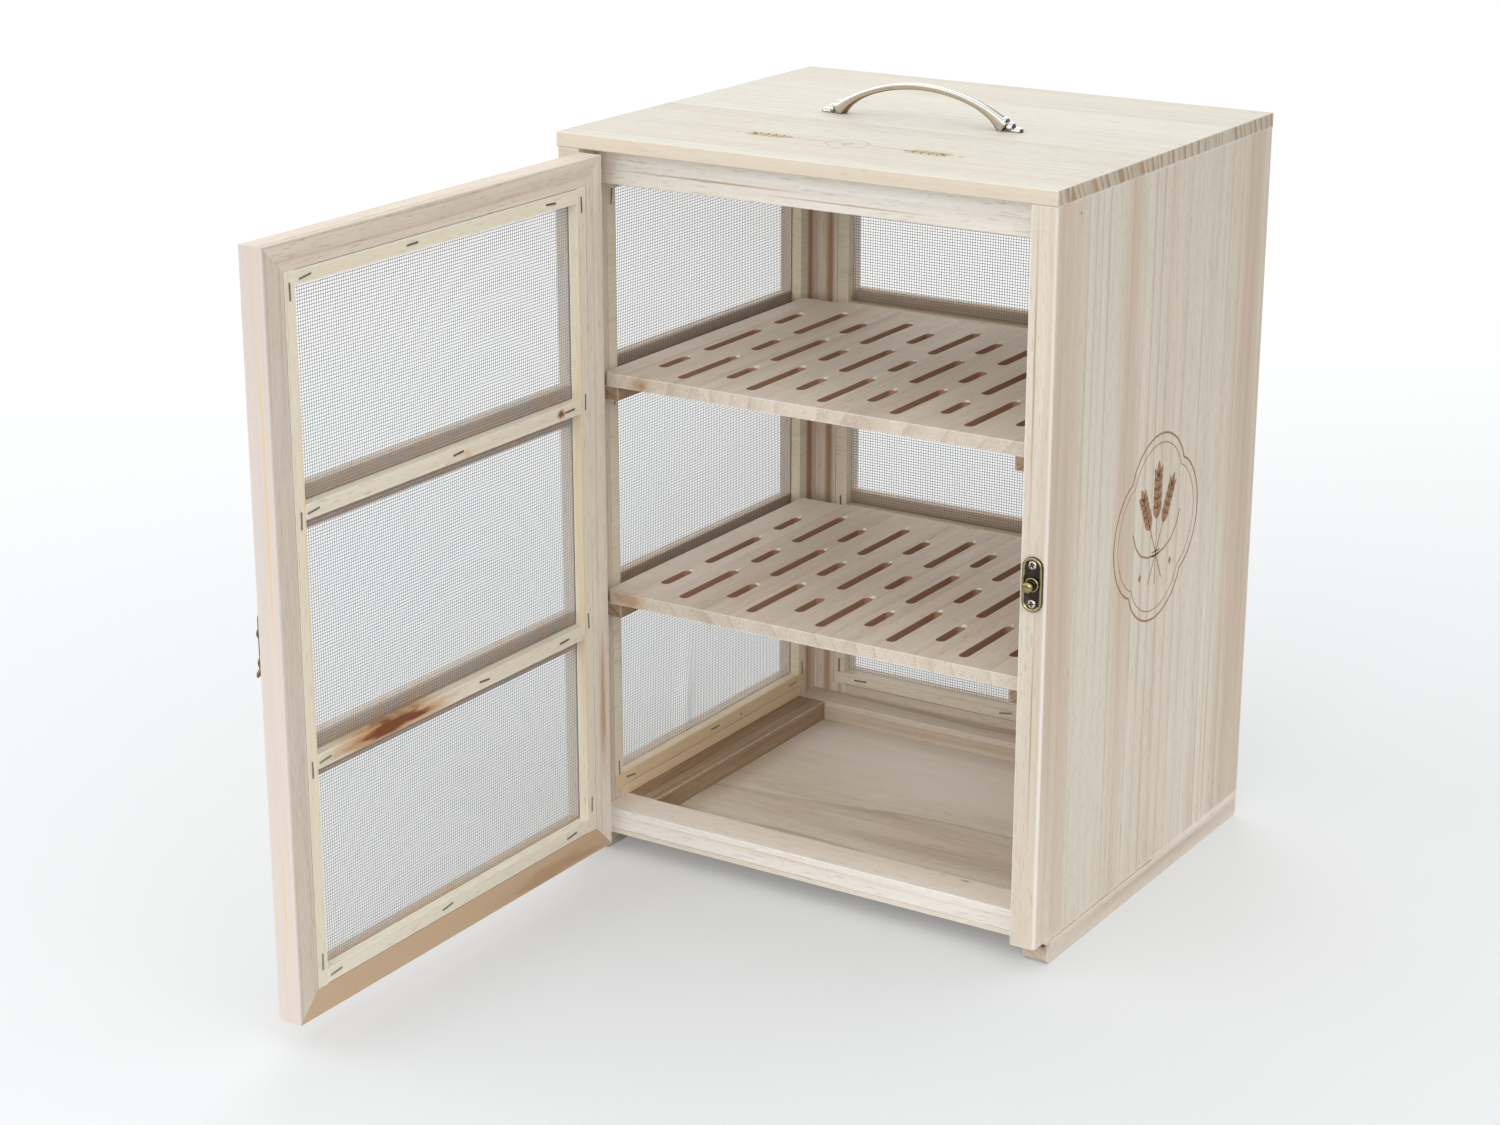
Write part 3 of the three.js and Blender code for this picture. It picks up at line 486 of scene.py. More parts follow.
# the width of the strips that a wide board is glued from, and how much they differ in tone
gluedStrips = {
    "top_panel": (56, 0.1), "side_panel": (62, 0.12), "shelf_lower": (52, 0.12), "shelf_upper": (47, 0.12),
}
oneStrip = (1000000, 0.0)
wood = {"seedStep": 0.71, "wearAndHighlight": 0.9, "specular": 0.35, "bump": 0.25, "bumpDepth": 0.15}


def slotWallMask(position, facing):
    low, high = corners("shelf_upper")
    half = (high - low) / 2
    mask = maths("LESS_THAN", maths("ABSOLUTE", parts(facing)[2]), routed["steep"])
    away = parts(vectorMaths("ABSOLUTE", vectorMaths("SUBTRACT", position, tuple((low + high) / 2))))
    inside = [maths("LESS_THAN", away[axis], half[axis] - mm(routed["rim"])) for axis in (0, 1)]
    return times(mask, times(*inside))


def timberMaterial(node, seed, timber, axis, pith, spacing, wander):
    material, shader, place = newMaterial(node + "_wood")
    position, facing = place["Object"], place["Normal"]
    low, high = corners(node)
    # edge wear and painted highlight along the board's arrises
    edges = {"Position": position, "Low": low, "High": high, "Width": mm(wood["wearAndHighlight"])}
    wearAndHighlight = placeGroup(shader, edgeGroup, edges)
    stripWidth, spread = gluedStrips.get(node, oneStrip)
    look = {name: colour(*value) if isinstance(value, tuple) else value
            for name, value in zip(timberInputs, timbers[timber])}
    board = placeGroup(shader, boardGroup, {
        "Position": alongGrain(position, axis), "Facing": alongGrain(facing, axis), "Seed": seed,
        "Pith": mm(0, *pith), "Ring spacing": mm(spacing), "Wander": mm(wander),
        "Strip width": mm(stripWidth), "Strip spread": spread, "Wear and highlight": wearAndHighlight["Mask"], **look,
    })
    tone = board["Color"]
    for kind, at, size in knotPlaces.get(node, ()):
        marks = placeGroup(shader, knotGroup, {"Position": position, "Centre": mm(*at), "Size": mm(*size)})
        halo, haloColour, heart, heartColour = (*knots[kind], 0.0, knots[kind][1])[:4]
        tone = blend(times(marks["Halo"], halo), tone, colour(*haloColour))
        tone = blend(times(marks["Heart"], heart), tone, colour(*heartColour))
    if timber == "shelf":
        walls = times(slotWallMask(position, facing), routed["share"])
        tone = blend(walls, tone, colour(*routed["wall"]))
    shader.inputs["Specular IOR Level"].default_value = wood["specular"]
    dress(shader, tone, board["Roughness"], board["Height"], wood["bump"], wood["bumpDepth"])
    return material


def setMaterial(node, material):
    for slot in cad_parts[node].material_slots:
        slot.material = material


for number, (node, cutting) in enumerate(boards.items(), 1):
    setMaterial(node, timberMaterial(node, wood["seedStep"] * number, *cutting))
print("timber on", len(boards), "pieces")


# Metals: bright and tarnished in screen colours, the roughness of both, the amount and scale of the tarnish
metals = {
    "nickel": ((228, 226, 222), (206, 202, 196), (0.08, 0.2), 0.35, 300),
    # painted reflections on the handle, in the next three: warm on its sides, dark in its grooves and
    # crevices, brown on its underside
    "shadedNickel": ((204, 194, 178), (182, 168, 150), (0.12, 0.26), 0.45, 260),
    "nickelDarkReflection": ((92, 88, 84), (56, 52, 48), (0.2, 0.4), 0.5, 600),
    "nickelUndersideReflection": ((150, 124, 98), (108, 82, 60), (0.2, 0.4), 0.5, 400),
    "agedBrass": ((150, 134, 96), (104, 90, 64), (0.24, 0.4), 0.5, 420),
    "darkBrass": ((78, 70, 66), (54, 47, 44), (0.26, 0.42), 0.5, 420),
    "rubbedBrass": ((176, 162, 118), (116, 102, 70), (0.16, 0.32), 0.45, 380),
    "screwBrass": ((226, 218, 198), (168, 154, 124), (0.14, 0.3), 0.4, 700),
    "galvanised": ((170, 170, 172), (140, 137, 134), (0.35, 0.5), 0.4, 900),
    "staple": ((168, 166, 160), (104, 100, 94), (0.25, 0.45), 0.5, 700),
}
metalBump = (0.08, 0.05)  # strength and millimetres
metalMaterials = {}
for name, (bright, tarnished, roughness, amount, patchScale) in metals.items():
    metalMaterials[name], shader, place = newMaterial(name)
    inputs = {"Position": place["Object"], "Patch scale": patchScale, "Amount": amount}
    marks = placeGroup(shader, tarnishGroup, inputs)
    shader.inputs["Metallic"].default_value = 1.0
    tone = blend(marks["Mask"], colour(*bright), colour(*tarnished))
    dress(shader, tone, remap(marks["Mask"], 0.0, 1.0, *roughness), marks["Height"], *metalBump)
hingeParts = ("case_leaf", "door_leaf", "pin")
hingeNodes = [f"hinge_{level}_{part}" for level in ("lower", "upper") for part in hingeParts]
for node in hingeNodes + ["latch_pivot", "latch_hook"]:
    setMaterial(node, metalMaterials["agedBrass"])
print("metals made")


def metal(*names):
    return [metalMaterials[name] for name in names]


def newShape():
    return SimpleNamespace(vertices=[], faces=[], finish=[])


def newObject(name, data):
    made = bpy.data.objects.new(name, data)
    scene.collection.objects.link(made)
    return made


def ringFaces(shape, rings, stripFinish=None):
    # skins a row of closed rings and closes both ends
    first = len(shape.vertices)
    count = len(rings[0])
    for ring in rings:
        shape.vertices.extend(ring)
    strips = [(index, corner) for index in range(len(rings) - 1) for corner in range(count)]
    for index, corner in strips:
        a = first + index * count + corner
        b = first + index * count + (corner + 1) % count
        shape.faces.append((a, b, b + count, a + count))
    last = first + (len(rings) - 1) * count
    shape.faces.append(tuple(range(first + count - 1, first - 1, -1)))
    shape.faces.append(tuple(range(last, last + count)))
    if stripFinish:
        shape.finish.extend(stripFinish(*strip) for strip in strips + [(0, 0), (len(rings) - 2, 0)])


def meshPiece(name, shape, materials, body, smooth=False):
    # where there are several materials, the shape has the number of each face's own
    mesh = bpy.data.meshes.new(name)
    mesh.from_pydata(shape.vertices, [], shape.faces)
    for material in materials:
        mesh.materials.append(material)
    if shape.finish:
        mesh.polygons.foreach_set("material_index", shape.finish)
    work = bmesh.new()
    work.from_mesh(mesh)
    bmesh.ops.recalc_face_normals(work, faces=work.faces)
    work.to_mesh(mesh)
    work.free()
    if smooth:
        mesh.polygons.foreach_set("use_smooth", [True] * len(mesh.polygons))
    mesh.update()
    piece = newObject(name, mesh)
    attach(piece, body)
    return piece


# Torn chips at the back ends of the slots, where the router left each cut. Their near-white colour is partly
# painted highlight, where each slot's end catches the light
chip = {
    "colour": (255, 252, 248), "shade": (246, 238, 228), "roughness": (0.85, 0.7), "bump": (0.3, 0.2),
    "length": 5.2, "width": 4, "sizes": (0.5, 0.6, 1.2), "aside": (-0.8, 1.2), "out": 0.4, "missing": 0.12,
    "lift": 0.8, "depth": 0.4, "crown": 0.55, "foot": 0.3, "points": 11, "ragged": (0.6, 1.1),
    "fibres": (1500.0, 3.0, 0.6), "fibreRange": (0.35, 0.65), "alongFibre": 0.2,
}


def slotEnds(node):
    # the back end of each slot, from the slots' outlines on a shelf's upper face
    low, high = corners(node)
    work = bmesh.new()
    work.from_mesh(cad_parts[node].data)
    bmesh.ops.remove_doubles(work, verts=work.verts, dist=mm(routed["weld"]))
    rim = mm(routed["rim"])
    inside = {v.index for v in work.verts if v.co.z > high.z - mm(routed["atTop"])
              and low.x + rim < v.co.x < high.x - rim and low.y + rim < v.co.y < high.y - rim}
    beside = {}
    for edge in work.edges:
        a, b = [v.index for v in edge.verts]
        if {a, b} <= inside and any(abs(face.normal.z) < routed["steep"] for face in edge.link_faces):
            beside.setdefault(a, []).append(b)
            beside.setdefault(b, []).append(a)
    work.verts.ensure_lookup_table()
    ends = []
    while beside:
        waiting = [min(beside)]
        loop = []
        while waiting:
            index = waiting.pop()
            if index in beside:
                loop.append(work.verts[index].co.copy())
                waiting.extend(beside.pop(index))
        across = sum(point.x for point in loop) / len(loop)
        ends.append(Vector((across, max(point.y for point in loop), high.z)))
    work.free()
    return ends


def makeChips(name, node):
    rng = random.Random(node)
    shape = newShape()
    shortest, narrowest, largest = chip["sizes"]
    for end in slotEnds(node):
        if rng.random() < chip["missing"]:
            continue
        long = chip["length"] * rng.uniform(shortest, largest)
        wide = chip["width"] * rng.uniform(narrowest, largest)
        centre = end + mm(rng.uniform(*chip["aside"]), long * chip["out"], 0)
        points = []
        for angle in roundAngles(chip["points"]):
            reach = rng.uniform(*chip["ragged"])
            points.append(mm(wide / 2 * reach * math.cos(angle), long / 2 * reach * math.sin(angle), 0))
        ringFaces(shape, [
            [centre + point * spread + mm(0, 0, height) for point in points] for spread, height in
            ((1.0, -chip["depth"]), (1.0, chip["lift"] * chip["foot"]), (chip["crown"], chip["lift"]))
        ])
    meshPiece(name, shape, [tornFibreHighlight], node)


# painted highlight in part: the chips are near white
tornFibreHighlight, shader, place = newMaterial("tornFibreHighlight")
fibres = noise(stretch(place["Object"], 1.0, chip["alongFibre"], 1.0), *chip["fibres"])
fibres = remap(fibres, *chip["fibreRange"])
tone = blend(fibres, colour(*chip["shade"]), colour(*chip["colour"]))
dress(shader, tone, remap(fibres, 0.0, 1.0, *chip["roughness"]), fibres, *chip["bump"])
makeChips("lower_chips", "shelf_lower")
makeChips("upper_chips", "shelf_upper")
print("slot chips made")


# Wire cloth: four-sided wires that cross just above and below each other and follow its slight sag
wireCloth = {
    "pitch": 2.02, "radius": 0.2, "over": 0.8, "uneven": 0.03,
    # the sag's height, its waves, each one's turns along and up and its start, and where it fades
    "ripple": 0.22, "waves": 4, "wave": ((9, 30), (9, 30), (0, 6.3)), "hem": 30,
}
dent = {"at": (134, 74), "wide": 9, "tall": 34, "deep": 2.4, "lean": 0.35, "reach": (-1.0, 3.0)}
# each cloth: its CAD net and body, the way across it, its seed and the steps in each wire
cloths = {
    "door_wire": ("door_mesh", "door", toBack, 3, 14),
    "left_wire": ("left_mesh", "case", toBack, 7, 30),
    "back_wire": ("back_mesh", "case", toRight, 11, 14),
}


def makeCloth(name, node, body, across, seed, steps):
    low, high = corners(node)
    middle = (low + high) / 2
    outward = across.yxz
    width = (high - low).dot(across)
    height = high.z - low.z
    pitch = mm(wireCloth["pitch"])
    radius = mm(wireCloth["radius"])
    rng = random.Random(seed)
    waves = [[rng.uniform(*span) for span in wireCloth["wave"]] for _ in range(wireCloth["waves"])]

    def ripple(point):
        aside = (point - middle).dot(across)
        rise = point.z - middle.z
        total = sum(math.sin(a * aside + b * rise + c) for a, b, c in waves)
        fromEdge = min(width / 2 - abs(aside), height / 2 - abs(rise)) / mm(wireCloth["hem"])
        depth = mm(wireCloth["ripple"]) * total / wireCloth["waves"] * max(0.0, min(1.0, fromEdge))
        if name == "left_wire":
            y, z = dent["at"]
            lowest, highest = dent["reach"]
            level = max(lowest, min((point.z - mm(z)) / mm(dent["tall"]), highest))
            drift = (point.y - mm(y)) / mm(dent["wide"]) - dent["lean"] * level
            depth += mm(dent["deep"]) * math.exp(-drift * drift - level * level)
        return depth

    shape = newShape()
    over = wireCloth["over"]
    weave = ((across, up, width, height, over), (up, across, height, width, -over))
    for aside, run, breadth, length, side in weave:
        count = int(breadth / pitch)
        for number in range(count + 1):
            offset = (number - count / 2) * pitch + rng.uniform(-1, 1) * mm(wireCloth["uneven"])
            start = middle + aside * offset - run * length / 2 + outward * radius * side
            end = start + run * length
            rings = []
            for step in range(steps + 1):
                point = start.lerp(end, step / steps)
                point += outward * ripple(point)
                rings.append([point + aside * radius, point + outward * radius,
                              point - aside * radius, point - outward * radius])
            ringFaces(shape, rings)
    piece = meshPiece(name, shape, metal("galvanised"), body)
    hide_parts(node)


for name, cloth in cloths.items():
    makeCloth(name, *cloth)
print("wire cloth woven")


# Staples: flat wire crowns that hold the beads, each pressed a little into the wood
staple = {
    "length": 11, "width": 1.3,
    # a leg's bend, height, depth and roundness, its shoulder in shares of the first two, the crown's share
    "leg": (1.2, 0.45, 0.3, 0.12), "shoulder": (0.3, 0.8), "crown": 0.6,
    # on the case: the beads' width, the level ones' heights (the first and last from the ends), the staples'
    # shares of a bead's length, and how far they stray and tilt
    "beadWidth": 9, "heights": (0.4, 172, 324.5, 9.4), "uprights": (0.035, 0.33, 0.65, 0.965),
    "levels": (0.08, 0.5, 0.92), "seed": 12, "stray": 2, "tilt": (1, 9),
    # on the door, by the way they run: Y and Z, and the tilt in degrees
    "door": {
        "z": [(-294.4, 458, 1), (-293.8, 325, -2), (-294.6, 173, 1), (-294, 50, -2),
              (-17.9, 459, 2), (-17.2, 331, -1), (-18, 183, 3), (-17.6, 53, -2)],
        "y": [(-281, 464.6, 8), (-186, 465.3, 2), (-50, 465, -3), (-283, 328.6, 7), (-149, 329.4, 3),
              (-34, 329.2, 2), (-283, 176.2, 6), (-130, 176.8, -4), (-45, 176.9, 3), (-282, 39.2, 5),
              (-174, 39.4, 8), (-41, 38.8, 6)],
    },
}


def addStaple(shape, centre, along, outward, tilt):
    run = (Matrix.Rotation(math.radians(tilt), 3, outward) @ along).normalized()
    across = outward.cross(run)
    half, wide = mm(staple["length"]) / 2, mm(staple["width"]) / 2
    bend, proud, sunk, edge = [mm(length) for length in staple["leg"]]
    inward, rise = staple["shoulder"]
    leg = [(0.0, -sunk), (bend * inward, proud * rise), (bend, proud)]
    profile = [(x - half, z) for x, z in leg] + [(half - x, z) for x, z in leg[::-1]]
    crown = wide * staple["crown"]
    section = [(-wide, 0.0), (-crown, edge), (crown, edge), (wide, 0.0)]
    ringFaces(shape, [[centre + run * x + across * y + outward * (z + drop - edge) for y, drop in section]
                      for x, z in profile])


def makeDoorStaples():
    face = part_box("door_bead_latch")[1][0]
    shape = newShape()
    for axis, along in (("z", up), ("y", toBack)):
        for y, z, tilt in staple["door"][axis]:
            addStaple(shape, Vector((face, mm(y), mm(z))), along, toRight, tilt)
    meshPiece("door_staples", shape, metal("staple"), "door")


def makeCaseStaples():
    # along each strip of the two fused bead frames: the uprights, then the level ones
    rng = random.Random(staple["seed"])
    shape = newShape()
    wide = mm(staple["beadWidth"])
    first, second, third, last = [mm(height) for height in staple["heights"]]
    frames = (("left_beads", 1, toBack, toRight), ("back_beads", 0, toRight, -toBack))
    for node, axis, level, outward in frames:
        low, high = corners(node)
        face = high if sum(outward) > 0 else low
        heights = (low.z + first, second, third, high.z - last)
        strips = [(axis, start, up, staple["uprights"]) for start in (low[axis], high[axis] - wide)]
        strips += [(2, start, level, staple["levels"]) for start in heights]
        for across, start, along, shares in strips:
            middle = (low + high) / 2
            middle[across] = start + wide / 2
            middle[1 - axis] = face[1 - axis]
            for share in shares:
                stray = mm(rng.uniform(-staple["stray"], staple["stray"]))
                tilt = rng.choice((-1, 1)) * rng.uniform(*staple["tilt"])
                place = (share - 0.5) * (high - low).dot(along) + stray
                addStaple(shape, middle + along * place, along, outward, tilt)
    meshPiece("case_staples", shape, metal("staple"), "case")


makeDoorStaples()
makeCaseStaples()
print("staples set")


# Cross-head screws in the latch plates
screw = {
    "radius": 2.75, "dome": 0.75, "cross": (3.6, 0.95, 1.3), "segments": 24,
    # share of the radius and of the dome, from the foot to the crown
    "profile": [(0, -0.8), (0.6, -0.8), (1, 0), (0.93, 0.4), (0.7, 0.78), (0.35, 0.97), (0, 1)],
    # height from the plate's middle, and turn
    "spots": [(12.3, 0.5), (-12.3, 0.2)],
    # faces in the cross, painted dark as shade: their reach from the middle, least height, and greatest slope
    # or share of the dome
    "dark": (1.9, -0.5, 0.3, 0.6),
}


def looseObject(name, work):
    mesh = bpy.data.meshes.new(name)
    work.to_mesh(mesh)
    work.free()
    return newObject(name, mesh)


def screwMesh():
    dome = mm(screw["dome"])
    work = bmesh.new()
    rings = []
    for share, rise in screw["profile"]:
        reach = mm(screw["radius"]) * share
        rings.append([work.verts.new((reach * math.cos(angle), reach * math.sin(angle), dome * rise))
                      for angle in roundAngles(screw["segments"] if share else 1)])
    for lower, upper in zip(rings, rings[1:]):
        for k in range(screw["segments"]):
            corner = ((lower, k), (lower, k + 1), (upper, k + 1), (upper, k))
            # the rings at the ends are single points, so the faces there have three corners
            work.faces.new(list(dict.fromkeys(ring[step % len(ring)] for ring, step in corner)))
    bmesh.ops.recalc_face_normals(work, faces=work.faces)
    head = looseObject("screwHead", work)
    work = bmesh.new()
    size = Matrix.Diagonal([mm(length) for length in screw["cross"]] + [1])
    for turn in (0, math.pi / 2):
        matrix = Matrix.Rotation(turn, 4, "Z") @ Matrix.Translation((0, 0, dome)) @ size
        bmesh.ops.create_cube(work, size=1.0, matrix=matrix)
    cross = looseObject("screwCross", work)
    cut = head.modifiers.new("cross", "BOOLEAN")
    cut.object = cross
    cut.operation = "DIFFERENCE"
    cut.solver = "EXACT"
    cut.use_self = True
    made = bpy.data.meshes.new_from_object(head.evaluated_get(bpy.context.evaluated_depsgraph_get()))
    bpy.data.objects.remove(head)
    bpy.data.objects.remove(cross)
    return made


def placeScrews(name, body, centre, across, outward):
    source = screwMesh()
    basis = Matrix((across, up, outward)).transposed()
    shape = newShape()
    reach, least, slope, share = screw["dark"]
    for height, turn in screw["spots"]:
        spin = Matrix.Rotation(turn, 3, "Z")
        first = len(shape.vertices)
        shape.vertices.extend([centre + up * mm(height) + basis @ (spin @ v.co) for v in source.vertices])
        for face in source.polygons:
            shape.faces.append([first + k for k in face.vertices])
            inCross = face.center.xy.length < mm(reach) and face.center.z > mm(least)
            steep = abs(face.normal.z) < slope or face.center.z < mm(screw["dome"]) * share
            # painted shade: the faces down in the cross take the dark brass
            shape.finish.append(int(inCross and steep))
    meshPiece(name, shape, metal("screwBrass", "darkBrass"), body)


# Latch plates: pressed brass with a rolled rim, rubbed bright on the rim and dark in the floor
latchPlate = {
    "segments": 14, "floor": 1.15,
    # inset from the edge, height over the wood, and the finish of the strip from there on
    "rings": [(0, 0, 1), (0, 1.2, 1), (0.3, 1.7, 0), (0.8, 2, 0), (1.4, 1.9, 0), (1.9, 1.45, 1),
              (2.3, 1.15, 1)],
}
stud = {
    "segments": 28, "tip": 0.02,
    # radius, height over the wood, and the finish of the strip from there on
    "rings": [(0, 1, 1), (4.6, 1, 1), (4.7, 1.6, 0), (4.35, 2.2, 0), (3.8, 2.3, 1), (3.3, 1.9, 1),
              (2.4, 1.8, 1), (2.1, 2.3, 1), (2.1, 5.4, 1), (2.8, 5.5, 0), (3.2, 5.8, 0), (3.35, 6.5, 0),
              (3.35, 7.8, 0), (3.15, 8.4, 0), (2.6, 8.8, 0), (1.5, 9.05, 0), (0, 9.1, 0)],
}


def brassPiece(name, rings, rows, body, node):
    shape = newShape()
    ringFaces(shape, rings, lambda index, corner: rows[index][2])
    piece = meshPiece(name, shape, metal("rubbedBrass", "darkBrass"), body, smooth=True)
    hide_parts(node)


def plateFrame(node, outward):
    # the middle of the plate's back, the way across it, its width and its length
    low, high = corners(node)
    size = high - low
    across = up.cross(outward)
    back = (low + high) / 2 - outward * abs(size.dot(outward)) / 2
    return back, across, abs(size.dot(across)), size.z


def makeLatchPlate(name, node, body, outward):
    back, across, width, length = plateFrame(node, outward)
    straight = (length - width) / 2
    rings = []
    for inset, height, _ in latchPlate["rings"]:
        radius = width / 2 - mm(inset)
        ring = []
        for end, turn in ((1, 0), (-1, math.pi)):
            for step in range(latchPlate["segments"] + 1):
                angle = math.pi * step / latchPlate["segments"] + turn
                place = across * radius * math.cos(angle) + up * (radius * math.sin(angle) + end * straight)
                ring.append(back + place + outward * mm(height))
        rings.append(ring)
    brassPiece(name, rings, latchPlate["rings"], body, node)
    floor = back + outward * mm(latchPlate["floor"])
    placeScrews(name.replace("plate", "screws"), body, floor, across, outward)


def makeStud():
    back, across = plateFrame("latch_strike_plate", -toBack)[:2]
    rings = []
    for radius, height, _ in stud["rings"]:
        centre = back - toBack * mm(height)
        reach = mm(max(radius, stud["tip"]))
        rings.append([centre + across * reach * math.cos(a) + up * reach * math.sin(a)
                      for a in roundAngles(stud["segments"])])
    brassPiece("strike_stud", rings, stud["rings"], "case", "latch_stud")


makeLatchPlate("strike_plate", "latch_strike_plate", "case", -toBack)
makeLatchPlate("hook_plate", "latch_hook_plate", "door", -toRight)
makeStud()
print("latch made")


# Handle: a fluted bow with cast feet, with tarnish in cloudy patches; the dark in its grooves and crevices is
# painted reflection, as are its warm sides and brown underside
handle = {
    "span": 128, "rise": 24.2, "shoulder": 5.3, "width": 7, "thickness": 3.8, "footWidth": 9.4,
    "footThickness": 10.3, "swell": 6, "flute": 0.7, "steps": 80,
    # half of the bow's section from the ridge outwards: share of the half width, of the flute's depth and of
    # the thickness, and the finish of the strip from there on
    "section": [
        (0, 0, 0, 0), (0.22, 0.04, 0, 0), (0.38, 0.3, 0, 0), (0.45, 0.8, 0, 1), (0.52, 1, 0, 1),
        (0.6, 0.8, 0, 1), (0.66, 0.25, 0, 0), (0.76, 0, 0.01, 0), (0.88, 0, 0.06, 0), (0.96, 0, 0.17, 2),
        (1, 0, 0.34, 2), (0.99, 0, 0.6, 2), (0.92, 0, 0.8, 3), (0.76, 0, 0.94, 3), (0.4, 0, 1, 3),
    ],
    # each foot's lobes: out from the bow's end, height of the middle, length, width and height
    "lobes": [(-2.6, 5.4, 4.2, 10, 6.8), (1.4, 3, 6, 8.8, 5.8), (5.4, 1, 9.8, 6.4, 3.8)],
    "lobeSteps": 16, "lobeSides": 24, "ribs": 6, "ribDepth": 0.05, "tip": 0.02,
    # painted reflection: the lobes' ends and a band of their sides are dark
    "brightSteps": range(4, 12), "darkSides": (14, 21),
}
# the handle's finishes: bright nickel, then painted reflections in the other three
nickels = metal("nickel", "nickelDarkReflection", "shadedNickel", "nickelUndersideReflection")


def makeHandle():
    low, high = corners("handle")
    seat = Vector(((low.x + high.x) / 2, (low.y + high.y) / 2, low.z))
    halfSpan = handle["span"] / 2
    drop = handle["rise"] - handle["shoulder"]
    radius = (halfSpan * halfSpan + drop * drop) / (2 * drop)
    sweep = math.asin(halfSpan / radius)
    half = handle["section"]
    section = half[::-1] + [(-wide, flute, deep, finish) for wide, flute, deep, finish in half[1:]]
    stripFinish = [point[3] for point in half[-2::-1] + half]
    shape = newShape()
    rings = []
    for step in range(handle["steps"] + 1):
        share = 2 * step / handle["steps"] - 1
        angle = share * sweep
        swell = abs(share) ** handle["swell"]
        halfWide = (handle["width"] + (handle["footWidth"] - handle["width"]) * swell) / 2
        thickness = handle["thickness"] + (handle["footThickness"] - handle["thickness"]) * swell
        ring = []
        for wide, flute, deep, _ in section:
            reach = radius - handle["flute"] * flute - thickness * deep
            rise = handle["rise"] - radius + reach * math.cos(angle)
            ring.append(seat + mm(reach * math.sin(angle), halfWide * wide, max(0.0, rise)))
        rings.append(ring)
    ringFaces(shape, rings, lambda index, corner: stripFinish[corner])
    steps = handle["lobeSteps"]
    for hand in (-1, 1):
        for out, middle, length, width, height in handle["lobes"]:
            rings = []
            for along in [math.cos(math.pi * step / steps) for step in range(steps + 1)]:
                girth = max(handle["tip"], math.sqrt(1 - along * along))
                x = hand * (halfSpan + out + length / 2 * along)
                ring = []
                for angle in roundAngles(handle["lobeSides"]):
                    ribbed = girth * (1 + handle["ribDepth"] * math.cos(handle["ribs"] * angle))
                    rise = middle + height / 2 * ribbed * math.sin(angle)
                    ring.append(seat + mm(x, width / 2 * ribbed * math.cos(angle), max(0.0, rise)))
                rings.append(ring)
            ringFaces(shape, rings, lambda step, side: int(
                step not in handle["brightSteps"] or side in handle["darkSides"]))
    piece = meshPiece("bow_handle", shape, nickels, "case", smooth=True)
    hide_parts("handle")


makeHandle()
print("handle made")


# Ornament burnt into the side and the top: ears of wheat. A drawing is a list of flat outlines
burnt = {
    "side": {"colours": [(182, 144, 110), (148, 110, 78)], "size": 62, "height": 254},
    "top": {"colours": [(212, 198, 172), (192, 172, 142)], "size": 84, "inset": 62},
    "lift": 0.05, "depth": 0.3, "line": 1.4, "roughness": (0.85, 0.7),
    "fibres": (420.0, 4.0, 0.6), "fibreRange": (0.3, 0.7), "alongFibre": 0.06,
    # the side's, in shares of its size: ears by lean and length, curved blades, the inner frame, the tie's
    # depth, reach and spread, the stalks under it, and the lozenges' place and size
    "ears": [(0, 0.98), (27, 0.86), (-27, 0.86)],
    "blade": [(0.03, -0.02), (0.2, 0.0), (0.36, 0.06), (0.48, 0.18), (0.56, 0.34)],
    "inner": 0.9, "tie": (0.28, 0.09, 0.02), "stalk": 0.34, "lozenges": ((0.36, -0.46), 0.035),
    # the top's: its frame, the lozenge in it, where the ears start and end, and the lozenges beyond them
    "frame": 0.17, "middle": 0.05, "span": (0.22, 0.68), "beyond": (0.96, 0.03),
}
line = mm(burnt["line"])
# an ear in shares of its length, its grains' splay in degrees and their breadths in shares of their length
ear = {
    "stem": 0.8, "stemLine": 0.7, "grains": 5, "grain": 0.2, "lowest": 0.38, "step": 0.1, "top": 0.82,
    "splay": 30, "plump": 0.4, "topPlump": 0.42, "pointed": 0.8, "sides": 7,
}


def heading(angle):
    return Vector((math.cos(angle), math.sin(angle)))


def stroke(drawing, points, width, closed=False):
    # a ribbon of even width along a line, one outline to each stretch
    count = len(points)
    edges = []
    for index, point in enumerate(points):
        before = points[index - 1] if index or closed else point
        after = points[(index + 1) % count] if index < count - 1 or closed else point
        run = after - before
        normal = Vector((-run.y, run.x)).normalized() * width / 2
        edges.append((point + normal, point - normal))
    for index in range(count if closed else count - 1):
        (a, b), (c, d) = edges[index], edges[(index + 1) % count]
        drawing.append([a, b, d, c])


def oneGrain(drawing, root, angle, length, width):
    # a grain of wheat: a pointed oval
    shares = [k / ear["sides"] for k in range(ear["sides"] + 1)]
    edge = [(length * share, math.sin(math.pi * share) ** ear["pointed"] * width / 2) for share in shares]
    turn = Matrix.Rotation(angle, 2)
    drawing.append([root + turn @ Vector(point) for point in edge + [(x, -y) for x, y in edge[-2:0:-1]]])


def wheatEar(drawing, foot, angle, length):
    # a stem with paired grains over its upper part and one at its tip
    run = heading(angle)
    stroke(drawing, [foot, foot + run * length * ear["stem"]], line * ear["stemLine"])
    grain = length * ear["grain"]
    for index in range(ear["grains"]):
        spot = foot + run * length * (ear["lowest"] + ear["step"] * index)
        for hand in (-1, 1):
            oneGrain(drawing, spot, angle + hand * math.radians(ear["splay"]), grain, grain * ear["plump"])
    oneGrain(drawing, foot + run * length * ear["top"], angle, grain, grain * ear["topPlump"])


